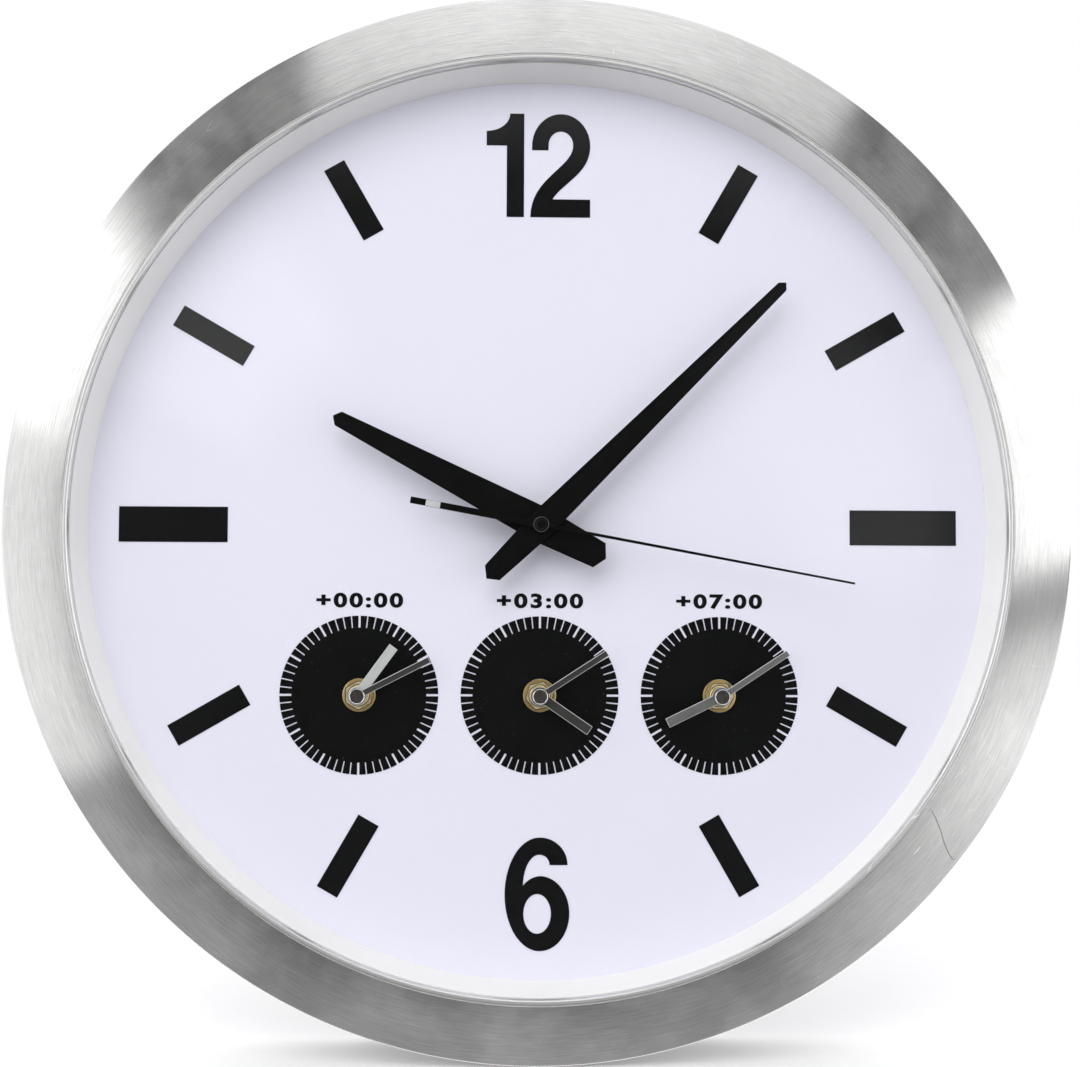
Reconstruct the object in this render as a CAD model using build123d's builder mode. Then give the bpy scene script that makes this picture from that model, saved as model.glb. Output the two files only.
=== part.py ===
from build123d import *
import os
from math import cos, hypot, pi, radians, sin, tan

os.makedirs("parts", exist_ok=True)

# World time clock: one large dial with three small zone dials, each with its own quartz movement.
# Millimetres. The face looks along -Y, +Z is up, and the origin lies on the main hands' axis,
# halfway between the wall and the front of the bezel. Heights are measured off the wall.

# Case
clock_diameter = 400.0
case_depth = 46.0
bezel_sheet = 1.5
bezel_face_fall = 2.6
bezel_edge_radius = 1.2
bezel_inner_edge_radius = 0.5
rim_width = 25.2
bead_width = 2.1
bead_radius = 0.8
bead_groove_width = 0.5
bead_groove_depth = 0.4
bead_proud = 0.1
lip_depth = 1.8
seat_width = 4.4
dial_recess = 19.2

# Lens, spacer ring and dial
lens_thickness = 1.5
lens_edge_gap = 0.5
lens_edge_chamfer = 0.3
spacer_draft = 2.9
spacer_sheet = 2.2
spacer_lip_inset = 0.2
dial_thickness = 1.2
dial_edge_gap = 0.3
print_thickness = 0.15

# Rear housing
back_gap = 3.0
plate_thickness = 2.0
plate_edge_gap = 0.5
ring_wall = 2.5
ring_wall_top_gap = 0.4
ledge_width = 5.0
ledge_thickness = 2.0
window_side = 58.0
window_corner = 4.0

# Bezel tabs and the screws through the plate into them
tab_count = 6
tab_width = 14.0
tab_foot = 11.3
tab_leg = 12.0
tab_sheet = 1.2
tab_wall_gap = 0.2
screw_radius = 1.5
screw_head_radius = 2.8
screw_head_height = 1.4
screw_length = 6.0
screw_hole_gap = 0.05
screw_slot_width = 0.7
screw_slot_depth = 0.6
screw_slot_share = 0.7

# Hanger plate
hanger_width = 44.0
hanger_height = 26.0
hanger_sheet = 1.2
hanger_corner = 3.0
hanger_inset = 22.8
keyhole_entry_radius = 4.5
keyhole_slot_width = 4.4
keyhole_travel = 10.0
keyhole_drop = 4.0
hanger_screw_spacing = 34.0
hanger_pocket_width = 18.0
hanger_pocket_height = 24.0
boss_wall = 1.6
boss_height = 5.0

# Zone dials
zone_spacing = 68.7
zone_drop = 64.6
zone_dial_radius = 30.1
tick_length = 4.5
tick_width = 0.45
five_minute_tick_width = 0.85
minutes_round = 60
hours_round = 12

# Hour markers on the main dial. The bars' ends are shares of the band between the circle round
# the zone dials and the opening, and the 6 takes shares of the space below the middle zone dial.
marker_end_shares = (0.0952, 0.7103)
marker_width = 8.85
wide_marker_end_shares = (-0.1052, 0.7123)
wide_marker_width = 13.5
twelve_inset = 35.1
numeral_height = 40.4
one_width = 14.5
two_width = 23.1
numeral_gap = 2.5
twelve_shift = -1.3
six_height_share = 0.5331
six_middle_height_share = 0.5618
six_width_share = 0.5761
six_shift = -0.7

# Outlines of the numerals, as shares of each figure's own width and height
one_stem_share = 0.54
one_neck_share = 0.624
one_flag_shares = (0.69, 0.83)
two_outer_centre_shares = (0.5125, 0.691)
two_outer_radius_shares = (0.4875, 0.309)
two_inner_centre_shares = (0.507, 0.699)
two_inner_radius_shares = (0.206, 0.132)
two_terminal_share = 0.648
two_foot_share = 0.174
two_crotch_shares = (0.37, 0.174)
two_outer_control_shares = ((1.0, 0.424), (0.53, 0.335))
two_inner_control_shares = ((0.0, 0.387), (0.713, 0.476))
six_middle_share = 0.541
six_hook_radius_shares = (0.429, 0.2435)
six_terminal_share = 0.7565
six_waist_share = 0.5
six_bowl_shares = (0.459, 0.33)
six_throat_shares = (0.2835, 0.577)
six_shoulder_shares = (0.39, 0.632)
six_inner_centre_share = 0.534
six_inner_radius_shares = (0.2505, 0.2715)
six_inner_hook_radius_shares = (0.158, 0.092)
six_counter_centre_shares = (0.5027, 0.3276)
six_counter_radius_shares = (0.2123, 0.1744)

# Movements
movement_side = 56.0
movement_corner = 4.0
tray_depth = 14.8
tray_wall = 1.2
cover_thickness = 1.2
gasket_thickness = 0.8
gasket_radius = 7.5
bushing_radius = 3.95
bushing_flange_radius = 5.5
bushing_flange_thickness = 0.7
bushing_stand = 2.6
bushing_hole_gap = 0.05
washer_radius = 6.3
washer_thickness = 0.5
nut_across_flats = 10.0
nut_thickness = 1.6
nut_chamfer = 0.4
nut_corners = 6
nut_clock_angles = (30.0, 30.0, 46.0, 60.0)
running_gap = 0.04
pivot_gap = 0.05
press_gap = 0.01

# Battery and its contacts
battery_diameter = 14.5
battery_length = 50.5
battery_nub_radius = 2.75
battery_nub_length = 1.0
battery_bay_gap = 0.4
battery_front_gap = 0.1
contact_sheet = 0.4
contact_width = 9.0
contact_dome_radius = 2.2

# Pipes and arbors on each movement's axis
hour_pipe_radius = 2.55
minute_pipe_radius = 1.75
second_arbor_radius = 0.5
arbor_radius = 0.6
pivot_radius = 0.4
setting_stem_radius = 1.5
setting_pivot_radius = 0.5
setting_knob_radius = 4.5
setting_knob_height = 2.8
setting_knob_gap = 0.4
knob_flute_count = 16
knob_flute_radius = 0.45
bearing_boss_radius = 1.6
bearing_boss_height = 1.0
bearing_hole_depth = 0.4
pivot_length = 0.8
shoulder_gap = 0.2

# Wheels: teeth, centre distances and thicknesses
cannon_teeth = 12
setting_wheel_teeth = 36
setting_pinion_teeth = 10
hour_wheel_teeth = 40
motion_centre_distance = 9.6
second_pinion_teeth = 8
third_wheel_teeth = 60
third_pinion_teeth = 8
centre_wheel_teeth = 64
third_centre_distance = 8.5
intermediate_pinion_teeth = 10
second_wheel_teeth = 30
second_centre_distance = 8.4
rotor_pinion_teeth = 6
intermediate_wheel_teeth = 60
rotor_centre_distance = 6.6
wheel_thickness = 0.6
level_gap = 0.3
addendum_share = 0.8
dedendum_share = 1.15
tooth_root_share = 0.44
tooth_tip_share = 0.14
setting_clock_angle = 90.0
third_clock_angle = 270.0
intermediate_clock_angle = 350.0
rotor_magnet_radius = 3.0
rotor_magnet_height = 2.4

# Bridge, stator, coil and circuit board
bridge_thickness = 0.8
bridge_width = 39.0
bridge_height = 28.5
bridge_floor_gap = 0.8
bridge_post_radius = 1.8
bridge_post_inset = 2.2
bridge_spigot_radius = 1.0
bridge_spigot_proud = 0.4
stator_thickness = 1.0
stator_bore_radius = 3.5
stator_left = 11.4
stator_right = 11.6
stator_leg = 4.0
stator_plate_height = 8.0
stator_reach = 10.3
coil_radius = 3.2
coil_length = 13.8
coil_core_gap = 0.1
board_width = 13.0
board_height = 16.0
board_thickness = 0.8
board_edge_gap = 0.8
board_post_radius = 1.5
board_post_inset = 3.2
chip_side = 4.0
chip_height = 1.0
crystal_radius = 1.0
crystal_length = 6.0

# Hands
main_hour_length = 88.4
main_hour_tail = 27.6
main_hour_hub_width = 13.5
main_hour_tip_width = 5.8
main_hour_tail_width = 10.3
main_hour_tip_angle = 105.0
main_hour_tail_angle = 122.0
main_minute_length = 130.9
main_minute_tail = 28.9
main_minute_hub_width = 10.6
main_minute_tip_width = 4.2
main_minute_tail_width = 7.9
main_minute_tip_angle = 90.0
main_minute_tail_angle = 103.0
main_hand_sheet = 0.6
second_length = 120.0
second_tail = 49.8
second_root_width = 1.2
second_tip_width = 0.8
second_tail_width = 2.5
second_hand_sheet = 0.4
second_collet_radius = 1.4
second_boss_radius = 2.9
second_boss_height = 1.0
second_boss_chamfer = 0.3
zone_hour_length = 22.8
zone_hour_width = 3.7
zone_hour_eye_radius = 3.6
zone_minute_length = 30.2
zone_minute_width = 2.4
zone_minute_eye_radius = 2.7
zone_hand_sheet = 0.4
cap_radius = 3.1
cap_height = 1.5
cap_chamfer = 0.45

# Heights of the hands above the dial
zone_hour_stand = 6.5
zone_minute_stand = 7.9
main_hour_stand = 10.6
main_minute_stand = 12.2
second_stand = 13.8
pipe_end_proud = 0.2

# The times shown, as hand angles in degrees clockwise from twelve
main_hour_angle = 297.4
main_minute_angle = 45.1
second_angle = 100.4
zone_hour_angles = {"left": 36.0, "middle": 124.5, "right": 244.0}
zone_minute_angles = {"left": 63.0, "middle": 57.0, "right": 56.5}

# Sizes worked out from the values above
wall_y = case_depth / 2
clock_radius = clock_diameter / 2
opening_radius = clock_radius - rim_width
bead_outer_radius = opening_radius + bead_width
seat_radius = opening_radius + seat_width
bezel_inner_radius = clock_radius - bezel_sheet
bezel_edge_height = case_depth - bezel_face_fall
bezel_under_edge = bezel_edge_height - bezel_sheet
lens_front = case_depth - lip_depth
lens_back = lens_front - lens_thickness
dial_front = case_depth - dial_recess
zone_reach = hypot(zone_spacing, zone_drop) + zone_dial_radius
marker_band = opening_radius - zone_reach
twelve_radius = opening_radius - twelve_inset
six_space = opening_radius - zone_drop - zone_dial_radius
six_height = six_height_share * six_space
six_width = six_width_share * six_height
six_radius = opening_radius - six_space * (1 - six_middle_height_share)
hanger_rise = opening_radius - hanger_inset
dial_back = dial_front - dial_thickness
plate_back = back_gap
plate_front = plate_back + plate_thickness
tray_front = dial_back - gasket_thickness
tray_back = tray_front - tray_depth
inner_wall = tray_front - tray_wall
cover_back = tray_back - cover_thickness
bearing_top = tray_back + bearing_boss_height
bay_width = battery_diameter + 2 * battery_bay_gap
bay_top = -movement_side / 2 + tray_wall + bay_width
mechanism_floor = bay_top + tray_wall
inner_half = movement_side / 2 - tray_wall
battery_height = inner_wall - battery_front_gap - battery_diameter / 2
battery_line = bay_top - bay_width / 2

# Levels of the wheels, from the dial side back to the cover
hour_wheel_level = inner_wall - bushing_flange_thickness - level_gap - wheel_thickness
setting_pinion_front = inner_wall - pivot_length
setting_wheel_level = hour_wheel_level - 2 * level_gap - 2 * wheel_thickness
bridge_front = setting_wheel_level - 3 * level_gap
bridge_back = bridge_front - bridge_thickness
centre_wheel_level = bridge_back - 3 * level_gap - wheel_thickness
minute_pipe_end = centre_wheel_level - level_gap - wheel_thickness
third_wheel_level = minute_pipe_end - 2 * level_gap - wheel_thickness
second_wheel_level = third_wheel_level - 2 * level_gap - wheel_thickness
intermediate_level = second_wheel_level - 2 * level_gap - wheel_thickness
magnet_level = second_wheel_level
stator_level = magnet_level + rotor_magnet_height / 2 - stator_thickness / 2

main_place = (0.0, 0.0)
zone_places = {
    "left": (-zone_spacing, -zone_drop),
    "middle": (0.0, -zone_drop),
    "right": (zone_spacing, -zone_drop),
}
all_places = [main_place, *zone_places.values()]


def facing(height, place=(0.0, 0.0), clock_angle=90.0):
    """Plane facing the viewer at a height off the wall, with its local X at a clock angle."""
    turn = radians(clock_angle)
    return Plane(
        origin=(place[0], wall_y - height, place[1]),
        x_dir=(sin(turn), 0, cos(turn)),
        z_dir=(0, -1, 0),
    )


def section():
    """Plane through the axis: local X is the radius and local Y the height off the wall."""
    return Plane(origin=(0, wall_y, 0), x_dir=(1, 0, 0), z_dir=(0, 0, -1))


def across(x, height, z):
    """Plane square to X, for round pieces that lie along the battery."""
    return Plane(origin=(x, wall_y - height, z), x_dir=(0, -1, 0), z_dir=(1, 0, 0))


def reach(place, clock_angle, distance):
    """Place at a distance from another one, in a clock direction."""
    turn = radians(clock_angle)
    return (place[0] + distance * sin(turn), place[1] + distance * cos(turn))


def shifted(place, x, z):
    """Place moved sideways and up."""
    return (place[0] + x, place[1] + z)


def disc(plane, radius, thickness, mode=Mode.ADD):
    """Round plate or hole in the part being built."""
    with BuildSketch(plane) as outline:
        Circle(radius)
    extrude(outline.sketch, amount=thickness, mode=mode)


def block(plane, width, height, thickness, mode=Mode.ADD):
    """Rectangular plate or pocket in the part being built."""
    with BuildSketch(plane) as outline:
        Rectangle(width, height)
    extrude(outline.sketch, amount=thickness, mode=mode)


def tooth_points(teeth, pitch_radius, tooth_first):
    """Corners of a toothed outline, with a tooth or a gap on the local X axis."""
    module = 2 * pitch_radius / teeth
    root = pitch_radius - dedendum_share * module
    tip = pitch_radius + addendum_share * module
    pitch_angle = 2 * pi / teeth
    start = 0 if tooth_first else pitch_angle / 2
    flanks = (
        (root, -tooth_root_share / 2),
        (tip, -tooth_tip_share / 2),
        (tip, tooth_tip_share / 2),
        (root, tooth_root_share / 2),
    )
    points = []
    for tooth in range(teeth):
        middle = start + tooth * pitch_angle
        for radius, side_share in flanks:
            angle = middle + side_share * pitch_angle
            points.append((radius * cos(angle), radius * sin(angle)))
    return points


def toothed_disc(plane, teeth, pitch_radius, thickness, tooth_first):
    """Toothed wheel or pinion in the part being built."""
    with BuildSketch(plane) as outline:
        Polygon(*tooth_points(teeth, pitch_radius, tooth_first), align=None)
    extrude(outline.sketch, amount=thickness)


def pitch_radii(distance, first_teeth, second_teeth):
    """Pitch radii of two wheels that mesh at a centre distance."""
    share = first_teeth / (first_teeth + second_teeth)
    return distance * share, distance * (1 - share)


def corner(outline, x, y):
    """Corner of an outline that lies nearest to a point."""
    return outline.vertices().sort_by_distance((x, y, 0))[0]


def write(piece, name):
    """Label a finished piece and write its file."""
    piece.part.label = name
    export_step(piece.part, f"parts/{name}.step")


cannon_radius, setting_wheel_radius = pitch_radii(
    motion_centre_distance, cannon_teeth, setting_wheel_teeth
)
setting_pinion_radius, hour_wheel_radius = pitch_radii(
    motion_centre_distance, setting_pinion_teeth, hour_wheel_teeth
)
second_pinion_radius, third_wheel_radius = pitch_radii(
    third_centre_distance, second_pinion_teeth, third_wheel_teeth
)
third_pinion_radius, centre_wheel_radius = pitch_radii(
    third_centre_distance, third_pinion_teeth, centre_wheel_teeth
)
intermediate_pinion_radius, second_wheel_radius = pitch_radii(
    second_centre_distance, intermediate_pinion_teeth, second_wheel_teeth
)
rotor_pinion_radius, intermediate_wheel_radius = pitch_radii(
    rotor_centre_distance, rotor_pinion_teeth, intermediate_wheel_teeth
)
third_place = reach(main_place, third_clock_angle, third_centre_distance)
intermediate_place = reach(main_place, intermediate_clock_angle, second_centre_distance)
rotor_place = reach(intermediate_place, intermediate_clock_angle, rotor_centre_distance)


# Casing

def make_bezel():
    """Spun ring: side wall, sloping face, groove, bead and the lip that holds the lens."""
    groove_edge = bead_outer_radius + bead_groove_width
    face_top = case_depth - bead_proud
    with BuildPart() as bezel:
        with BuildSketch(section()) as profile:
            with BuildLine():
                Polyline(
                    (clock_radius, 0),
                    (clock_radius, bezel_edge_height),
                    (groove_edge, face_top),
                    (groove_edge, face_top - bead_groove_depth),
                    (bead_outer_radius, face_top - bead_groove_depth),
                    (bead_outer_radius, case_depth),
                    (opening_radius, case_depth),
                    (opening_radius, lens_front),
                    (seat_radius, lens_front),
                    (bezel_inner_radius, bezel_under_edge),
                    (bezel_inner_radius, 0),
                    close=True,
                )
            make_face()
            fillet(corner(profile, clock_radius, bezel_edge_height), bezel_edge_radius)
            fillet(corner(profile, bezel_inner_radius, bezel_under_edge), bezel_inner_edge_radius)
            fillet(corner(profile, bead_outer_radius, case_depth), bead_radius / 2)
            fillet(corner(profile, opening_radius, case_depth), bead_radius)
        revolve(axis=Axis.Y)
    write(bezel, "bezel")


def make_bezel_tabs():
    """Angle tabs welded inside the bezel wall, with a hole for each cover screw."""
    outer = bezel_inner_radius - tab_wall_gap
    foot_middle = outer - tab_foot / 2
    with BuildPart() as tabs:
        with BuildSketch(facing(plate_front)):
            with PolarLocations(foot_middle, tab_count, start_angle=90):
                Rectangle(tab_foot, tab_width)
        extrude(amount=tab_sheet)
        with BuildSketch(facing(plate_front)):
            with PolarLocations(outer - tab_sheet / 2, tab_count, start_angle=90):
                Rectangle(tab_sheet, tab_width)
        extrude(amount=tab_leg)
        with BuildSketch(facing(plate_front)):
            with PolarLocations(foot_middle, tab_count, start_angle=90):
                Circle(screw_radius + screw_hole_gap)
        extrude(amount=tab_sheet, mode=Mode.SUBTRACT)
    write(tabs, "bezel_tabs")


def screw_shape(plane_at, places):
    """Pan-head screws standing at places, their heads towards the wall."""
    head_back = plane_at - screw_head_height
    for place in places:
        disc(facing(head_back, place), screw_head_radius, screw_head_height)
        disc(facing(plane_at, place), screw_radius, screw_length)
        slot = screw_slot_share * 2 * screw_head_radius
        block(facing(head_back, place), slot, screw_slot_width, screw_slot_depth, Mode.SUBTRACT)
        block(facing(head_back, place), screw_slot_width, slot, screw_slot_depth, Mode.SUBTRACT)


def make_cover_screws():
    """Screws through the rear plate into the bezel tabs."""
    foot_middle = bezel_inner_radius - tab_wall_gap - tab_foot / 2
    places = [reach(main_place, 360 * turn / tab_count, foot_middle) for turn in range(tab_count)]
    with BuildPart() as screws:
        screw_shape(plate_back, places)
    write(screws, "cover_screws")


def make_lens():
    """Flat glass disc under the bezel lip."""
    with BuildPart() as lens:
        disc(facing(lens_back), seat_radius - lens_edge_gap, lens_thickness)
        chamfer(lens.edges().filter_by(GeomType.CIRCLE), lens_edge_chamfer)
    write(lens, "lens_glass")


def make_spacer_ring():
    """White sloping ring between the dial and the lens, with a foot on the dial."""
    top_radius = opening_radius - spacer_lip_inset
    foot_radius = opening_radius - spacer_draft
    outer_radius = seat_radius - dial_edge_gap
    with BuildPart() as spacer:
        with BuildSketch(section()):
            with BuildLine():
                Polyline(
                    (foot_radius, dial_front),
                    (top_radius, lens_back),
                    (top_radius + spacer_sheet, lens_back),
                    (foot_radius + 2 * spacer_sheet, dial_front + spacer_sheet),
                    (outer_radius, dial_front + spacer_sheet),
                    (outer_radius, dial_front),
                    close=True,
                )
            make_face()
        revolve(axis=Axis.Y)
    write(spacer, "spacer_ring")


def make_dial():
    """White dial sheet with a hole for each movement's bushing."""
    with BuildPart() as dial:
        disc(facing(dial_back), seat_radius - dial_edge_gap, dial_thickness)
        for place in all_places:
            hole_radius = bushing_radius + bushing_hole_gap
            disc(facing(dial_back, place), hole_radius, dial_thickness, Mode.SUBTRACT)
    write(dial, "dial")


def at_shares(width, height, shares):
    """Point of a figure from its shares of the figure's width and height."""
    return (width * shares[0], height * shares[1])


def elliptic(centre, radii, start, turn):
    """Part of an ellipse, from a start angle through a turn, in the outline being drawn."""
    EllipticalCenterArc(centre, radii[0], radii[1], start, arc_size=turn)


def figure_one(plane):
    """The figure 1: a stem with a flag whose upper edge is a hollow quarter arc."""
    stem = one_width * one_stem_share
    neck = one_width * one_neck_share
    flag_low = numeral_height * one_flag_shares[0]
    flag_high = numeral_height * one_flag_shares[1]
    with BuildSketch(plane) as figure:
        with BuildLine():
            Polyline(
                (neck, numeral_height),
                (one_width, numeral_height),
                (one_width, 0),
                (stem, 0),
                (stem, flag_low),
                (0, flag_low),
                (0, flag_high),
            )
            elliptic((0, numeral_height), (neck, numeral_height - flag_high), 270, 90)
        make_face()
    extrude(figure.sketch, amount=print_thickness)


def figure_two(plane):
    """The figure 2: a bowl, a curved diagonal and a flat foot."""
    def spot(shares):
        return at_shares(two_width, numeral_height, shares)

    outer_centre = spot(two_outer_centre_shares)
    outer_radii = spot(two_outer_radius_shares)
    inner_centre = spot(two_inner_centre_shares)
    inner_radii = spot(two_inner_radius_shares)
    crotch = spot(two_crotch_shares)
    terminal = numeral_height * two_terminal_share
    foot = numeral_height * two_foot_share
    outer_left = (outer_centre[0] - outer_radii[0], outer_centre[1])
    outer_right = (outer_centre[0] + outer_radii[0], outer_centre[1])
    inner_left = (inner_centre[0] - inner_radii[0], inner_centre[1])
    inner_right = (inner_centre[0] + inner_radii[0], inner_centre[1])
    with BuildSketch(plane) as figure:
        with BuildLine():
            elliptic(outer_centre, outer_radii, 0, 180)
            Polyline(outer_left, (outer_left[0], terminal), (inner_left[0], terminal), inner_left)
            elliptic(inner_centre, inner_radii, 0, 180)
            Bezier(
                (0, 0),
                spot(two_inner_control_shares[0]),
                spot(two_inner_control_shares[1]),
                inner_right,
            )
            Polyline((0, 0), (two_width, 0), (two_width, foot), crotch)
            Bezier(
                outer_right,
                spot(two_outer_control_shares[0]),
                spot(two_outer_control_shares[1]),
                crotch,
            )
        make_face()
    extrude(figure.sketch, amount=print_thickness)


def figure_six(plane):
    """The figure 6: a round back, an open hook above and a closed bowl below."""
    def spot(shares):
        return at_shares(six_width, six_height, shares)

    middle = six_width * six_middle_share
    hook = spot(six_hook_radius_shares)
    bowl = spot(six_bowl_shares)
    throat = spot(six_throat_shares)
    inner = spot(six_inner_radius_shares)
    inner_hook = spot(six_inner_hook_radius_shares)
    waist = six_height * six_waist_share
    terminal = six_height * six_terminal_share
    inner_middle = six_width * six_inner_centre_share
    with BuildSketch(plane) as figure:
        with BuildLine():
            elliptic((middle, terminal), hook, 0, 90)
            elliptic((middle, waist), (middle, waist), 90, 180)
            elliptic((middle, bowl[1]), bowl, 270, 180)
            ThreePointArc((middle, 2 * bowl[1]), spot(six_shoulder_shares), throat)
            elliptic((inner_middle, throat[1]), (inner_middle - throat[0], inner[1]), 90, 90)
            inner_hook_height = throat[1] + inner[1] - terminal
            elliptic((inner_middle, terminal), (inner_hook[0], inner_hook_height), 0, 90)
            Line((inner_middle + inner_hook[0], terminal), (middle + hook[0], terminal))
        make_face()
        counter = spot(six_counter_radius_shares)
        with Locations(spot(six_counter_centre_shares)):
            Ellipse(counter[0], counter[1], mode=Mode.SUBTRACT)
    extrude(figure.sketch, amount=print_thickness)


def make_hour_markers():
    """Printed bars and the figures 12 and 6 on the main dial."""
    twelve_width = one_width + numeral_gap + two_width
    twelve_left = twelve_shift - twelve_width / 2
    twelve_floor = twelve_radius - numeral_height / 2
    with BuildPart() as markers:
        for hour in range(hours_round):
            angle = 360 * hour / hours_round
            if hour in (0, 6):
                continue
            wide = hour in (3, 9)
            start, end = wide_marker_end_shares if wide else marker_end_shares
            width = wide_marker_width if wide else marker_width
            length = (end - start) * marker_band
            place = reach(main_place, angle, zone_reach + (start + end) / 2 * marker_band)
            block(facing(dial_front, place, angle), length, width, print_thickness)
        figure_one(facing(dial_front, (twelve_left, twelve_floor)))
        figure_two(facing(dial_front, (twelve_left + one_width + numeral_gap, twelve_floor)))
        six_left = six_shift - six_width / 2
        figure_six(facing(dial_front, (six_left, -six_radius - six_height / 2)))
    write(markers, "hour_markers")


def make_zone_dials():
    """Black printed discs with sixty minute marks left open at the rim."""
    with BuildPart() as zone_dials:
        for place in zone_places.values():
            with BuildSketch(facing(dial_front, place)) as print_face:
                Circle(zone_dial_radius)
                Circle(washer_radius + running_gap, mode=Mode.SUBTRACT)
                for minute in range(minutes_round):
                    on_the_hour = minute % (minutes_round // hours_round) == 0
                    width = five_minute_tick_width if on_the_hour else tick_width
                    angle = 360 * minute / minutes_round
                    with PolarLocations(zone_dial_radius, 1, start_angle=angle):
                        Rectangle(2 * tick_length, width, mode=Mode.SUBTRACT)
            extrude(print_face.sketch, amount=print_thickness)
    write(zone_dials, "zone_dials")


def make_rear_housing():
    """Moulded back: plate, ring wall with a ledge for the dial, windows and hanger bosses."""
    wall_outer = seat_radius + ring_wall
    slope = (lens_front - bezel_under_edge) / (bezel_inner_radius - seat_radius)
    wall_top = lens_front - slope * ring_wall - ring_wall_top_gap
    ledge_inner = seat_radius - ledge_width
    screw_half = hanger_screw_spacing / 2
    boss_radius = screw_radius + boss_wall
    foot_middle = bezel_inner_radius - tab_wall_gap - tab_foot / 2
    with BuildPart() as housing:
        with BuildSketch(section()):
            with BuildLine():
                Polyline(
                    (0, plate_back),
                    (bezel_inner_radius - plate_edge_gap, plate_back),
                    (bezel_inner_radius - plate_edge_gap, plate_front),
                    (wall_outer, plate_front),
                    (wall_outer, wall_top),
                    (seat_radius, wall_top),
                    (seat_radius, dial_back),
                    (ledge_inner, dial_back),
                    (ledge_inner, dial_back - ledge_thickness),
                    (seat_radius, dial_back - ledge_thickness - ledge_width),
                    (seat_radius, plate_front),
                    (0, plate_front),
                    close=True,
                )
            make_face()
        revolve(axis=Axis.Y)
        for place in all_places:
            with BuildSketch(facing(plate_back, place)) as window:
                RectangleRounded(window_side, window_side, window_corner)
            extrude(window.sketch, amount=plate_thickness, mode=Mode.SUBTRACT)
        pocket = facing(plate_back, (0, hanger_rise))
        block(pocket, hanger_pocket_width, hanger_pocket_height, plate_thickness, Mode.SUBTRACT)
        for side in (-screw_half, screw_half):
            disc(facing(plate_front, (side, hanger_rise)), boss_radius, boss_height)
            hole = screw_radius + screw_hole_gap
            depth = plate_thickness + boss_height
            disc(facing(plate_back, (side, hanger_rise)), hole, depth, Mode.SUBTRACT)
        with BuildSketch(facing(plate_back)):
            with PolarLocations(foot_middle, tab_count, start_angle=90):
                Circle(screw_radius + screw_hole_gap)
        extrude(amount=plate_thickness, mode=Mode.SUBTRACT)
    write(housing, "rear_housing")


def make_hanger_plate():
    """Steel plate with a keyhole: the wall screw's head enters below and rides up the slot."""
    entry = -keyhole_drop
    with BuildPart() as hanger:
        with BuildSketch(facing(plate_back - hanger_sheet, (0, hanger_rise))):
            RectangleRounded(hanger_width, hanger_height, hanger_corner)
            with Locations((0, entry)):
                Circle(keyhole_entry_radius, mode=Mode.SUBTRACT)
            with Locations((0, entry + keyhole_travel / 2)):
                Rectangle(keyhole_slot_width, keyhole_travel, mode=Mode.SUBTRACT)
            with Locations((0, entry + keyhole_travel)):
                Circle(keyhole_slot_width / 2, mode=Mode.SUBTRACT)
            with GridLocations(hanger_screw_spacing, 0, 2, 1):
                Circle(screw_radius + screw_hole_gap, mode=Mode.SUBTRACT)
        extrude(amount=hanger_sheet)
    write(hanger, "hanger_plate")


def make_hanger_screws():
    """Two screws that hold the hanger plate to the housing bosses."""
    half = hanger_screw_spacing / 2
    with BuildPart() as screws:
        screw_shape(plate_back - hanger_sheet, [(-half, hanger_rise), (half, hanger_rise)])
    write(screws, "hanger_screws")


# Pieces that every movement has

def make_bushings():
    """Brass bushings that carry the hour pipes and pass through the dial."""
    bore = hour_pipe_radius + running_gap
    flange_back = inner_wall - bushing_flange_thickness
    stem_length = dial_front + bushing_stand - inner_wall
    with BuildPart() as bushings:
        for place in all_places:
            disc(facing(flange_back, place), bushing_flange_radius, bushing_flange_thickness)
            disc(facing(inner_wall, place), bushing_radius, stem_length)
            full = stem_length + bushing_flange_thickness
            disc(facing(flange_back, place), bore, full, Mode.SUBTRACT)
    write(bushings, "bushings")


def ring_set(name, height, outer, inner, thickness):
    """One flat ring round each movement's bushing, all in one node."""
    with BuildPart() as rings:
        for place in all_places:
            with BuildSketch(facing(height, place)) as ring:
                Circle(outer)
                Circle(inner, mode=Mode.SUBTRACT)
            extrude(ring.sketch, amount=thickness)
    write(rings, name)


def nut_shape(place, clock_angle):
    """Hexagon nut with its front corners turned off."""
    level = dial_front + washer_thickness
    corner_radius = nut_across_flats / 2 / cos(pi / nut_corners)
    with BuildPart() as nut:
        disc(facing(level, place), corner_radius, nut_thickness)
        front_edge = nut.edges().filter_by(GeomType.CIRCLE).sort_by(Axis.Y)[0]
        chamfer(front_edge, nut_chamfer)
        with BuildSketch(facing(level, place, clock_angle)) as hexagon:
            RegularPolygon(corner_radius, nut_corners)
            Circle(bushing_radius + press_gap, mode=Mode.SUBTRACT)
        extrude(hexagon.sketch, amount=nut_thickness, mode=Mode.INTERSECT)
    return nut.part


def make_nuts():
    """The four nuts that clamp the movements to the dial."""
    with BuildPart() as nuts:
        for place, clock_angle in zip(all_places, nut_clock_angles):
            add(nut_shape(place, clock_angle))
    write(nuts, "nuts")


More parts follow.
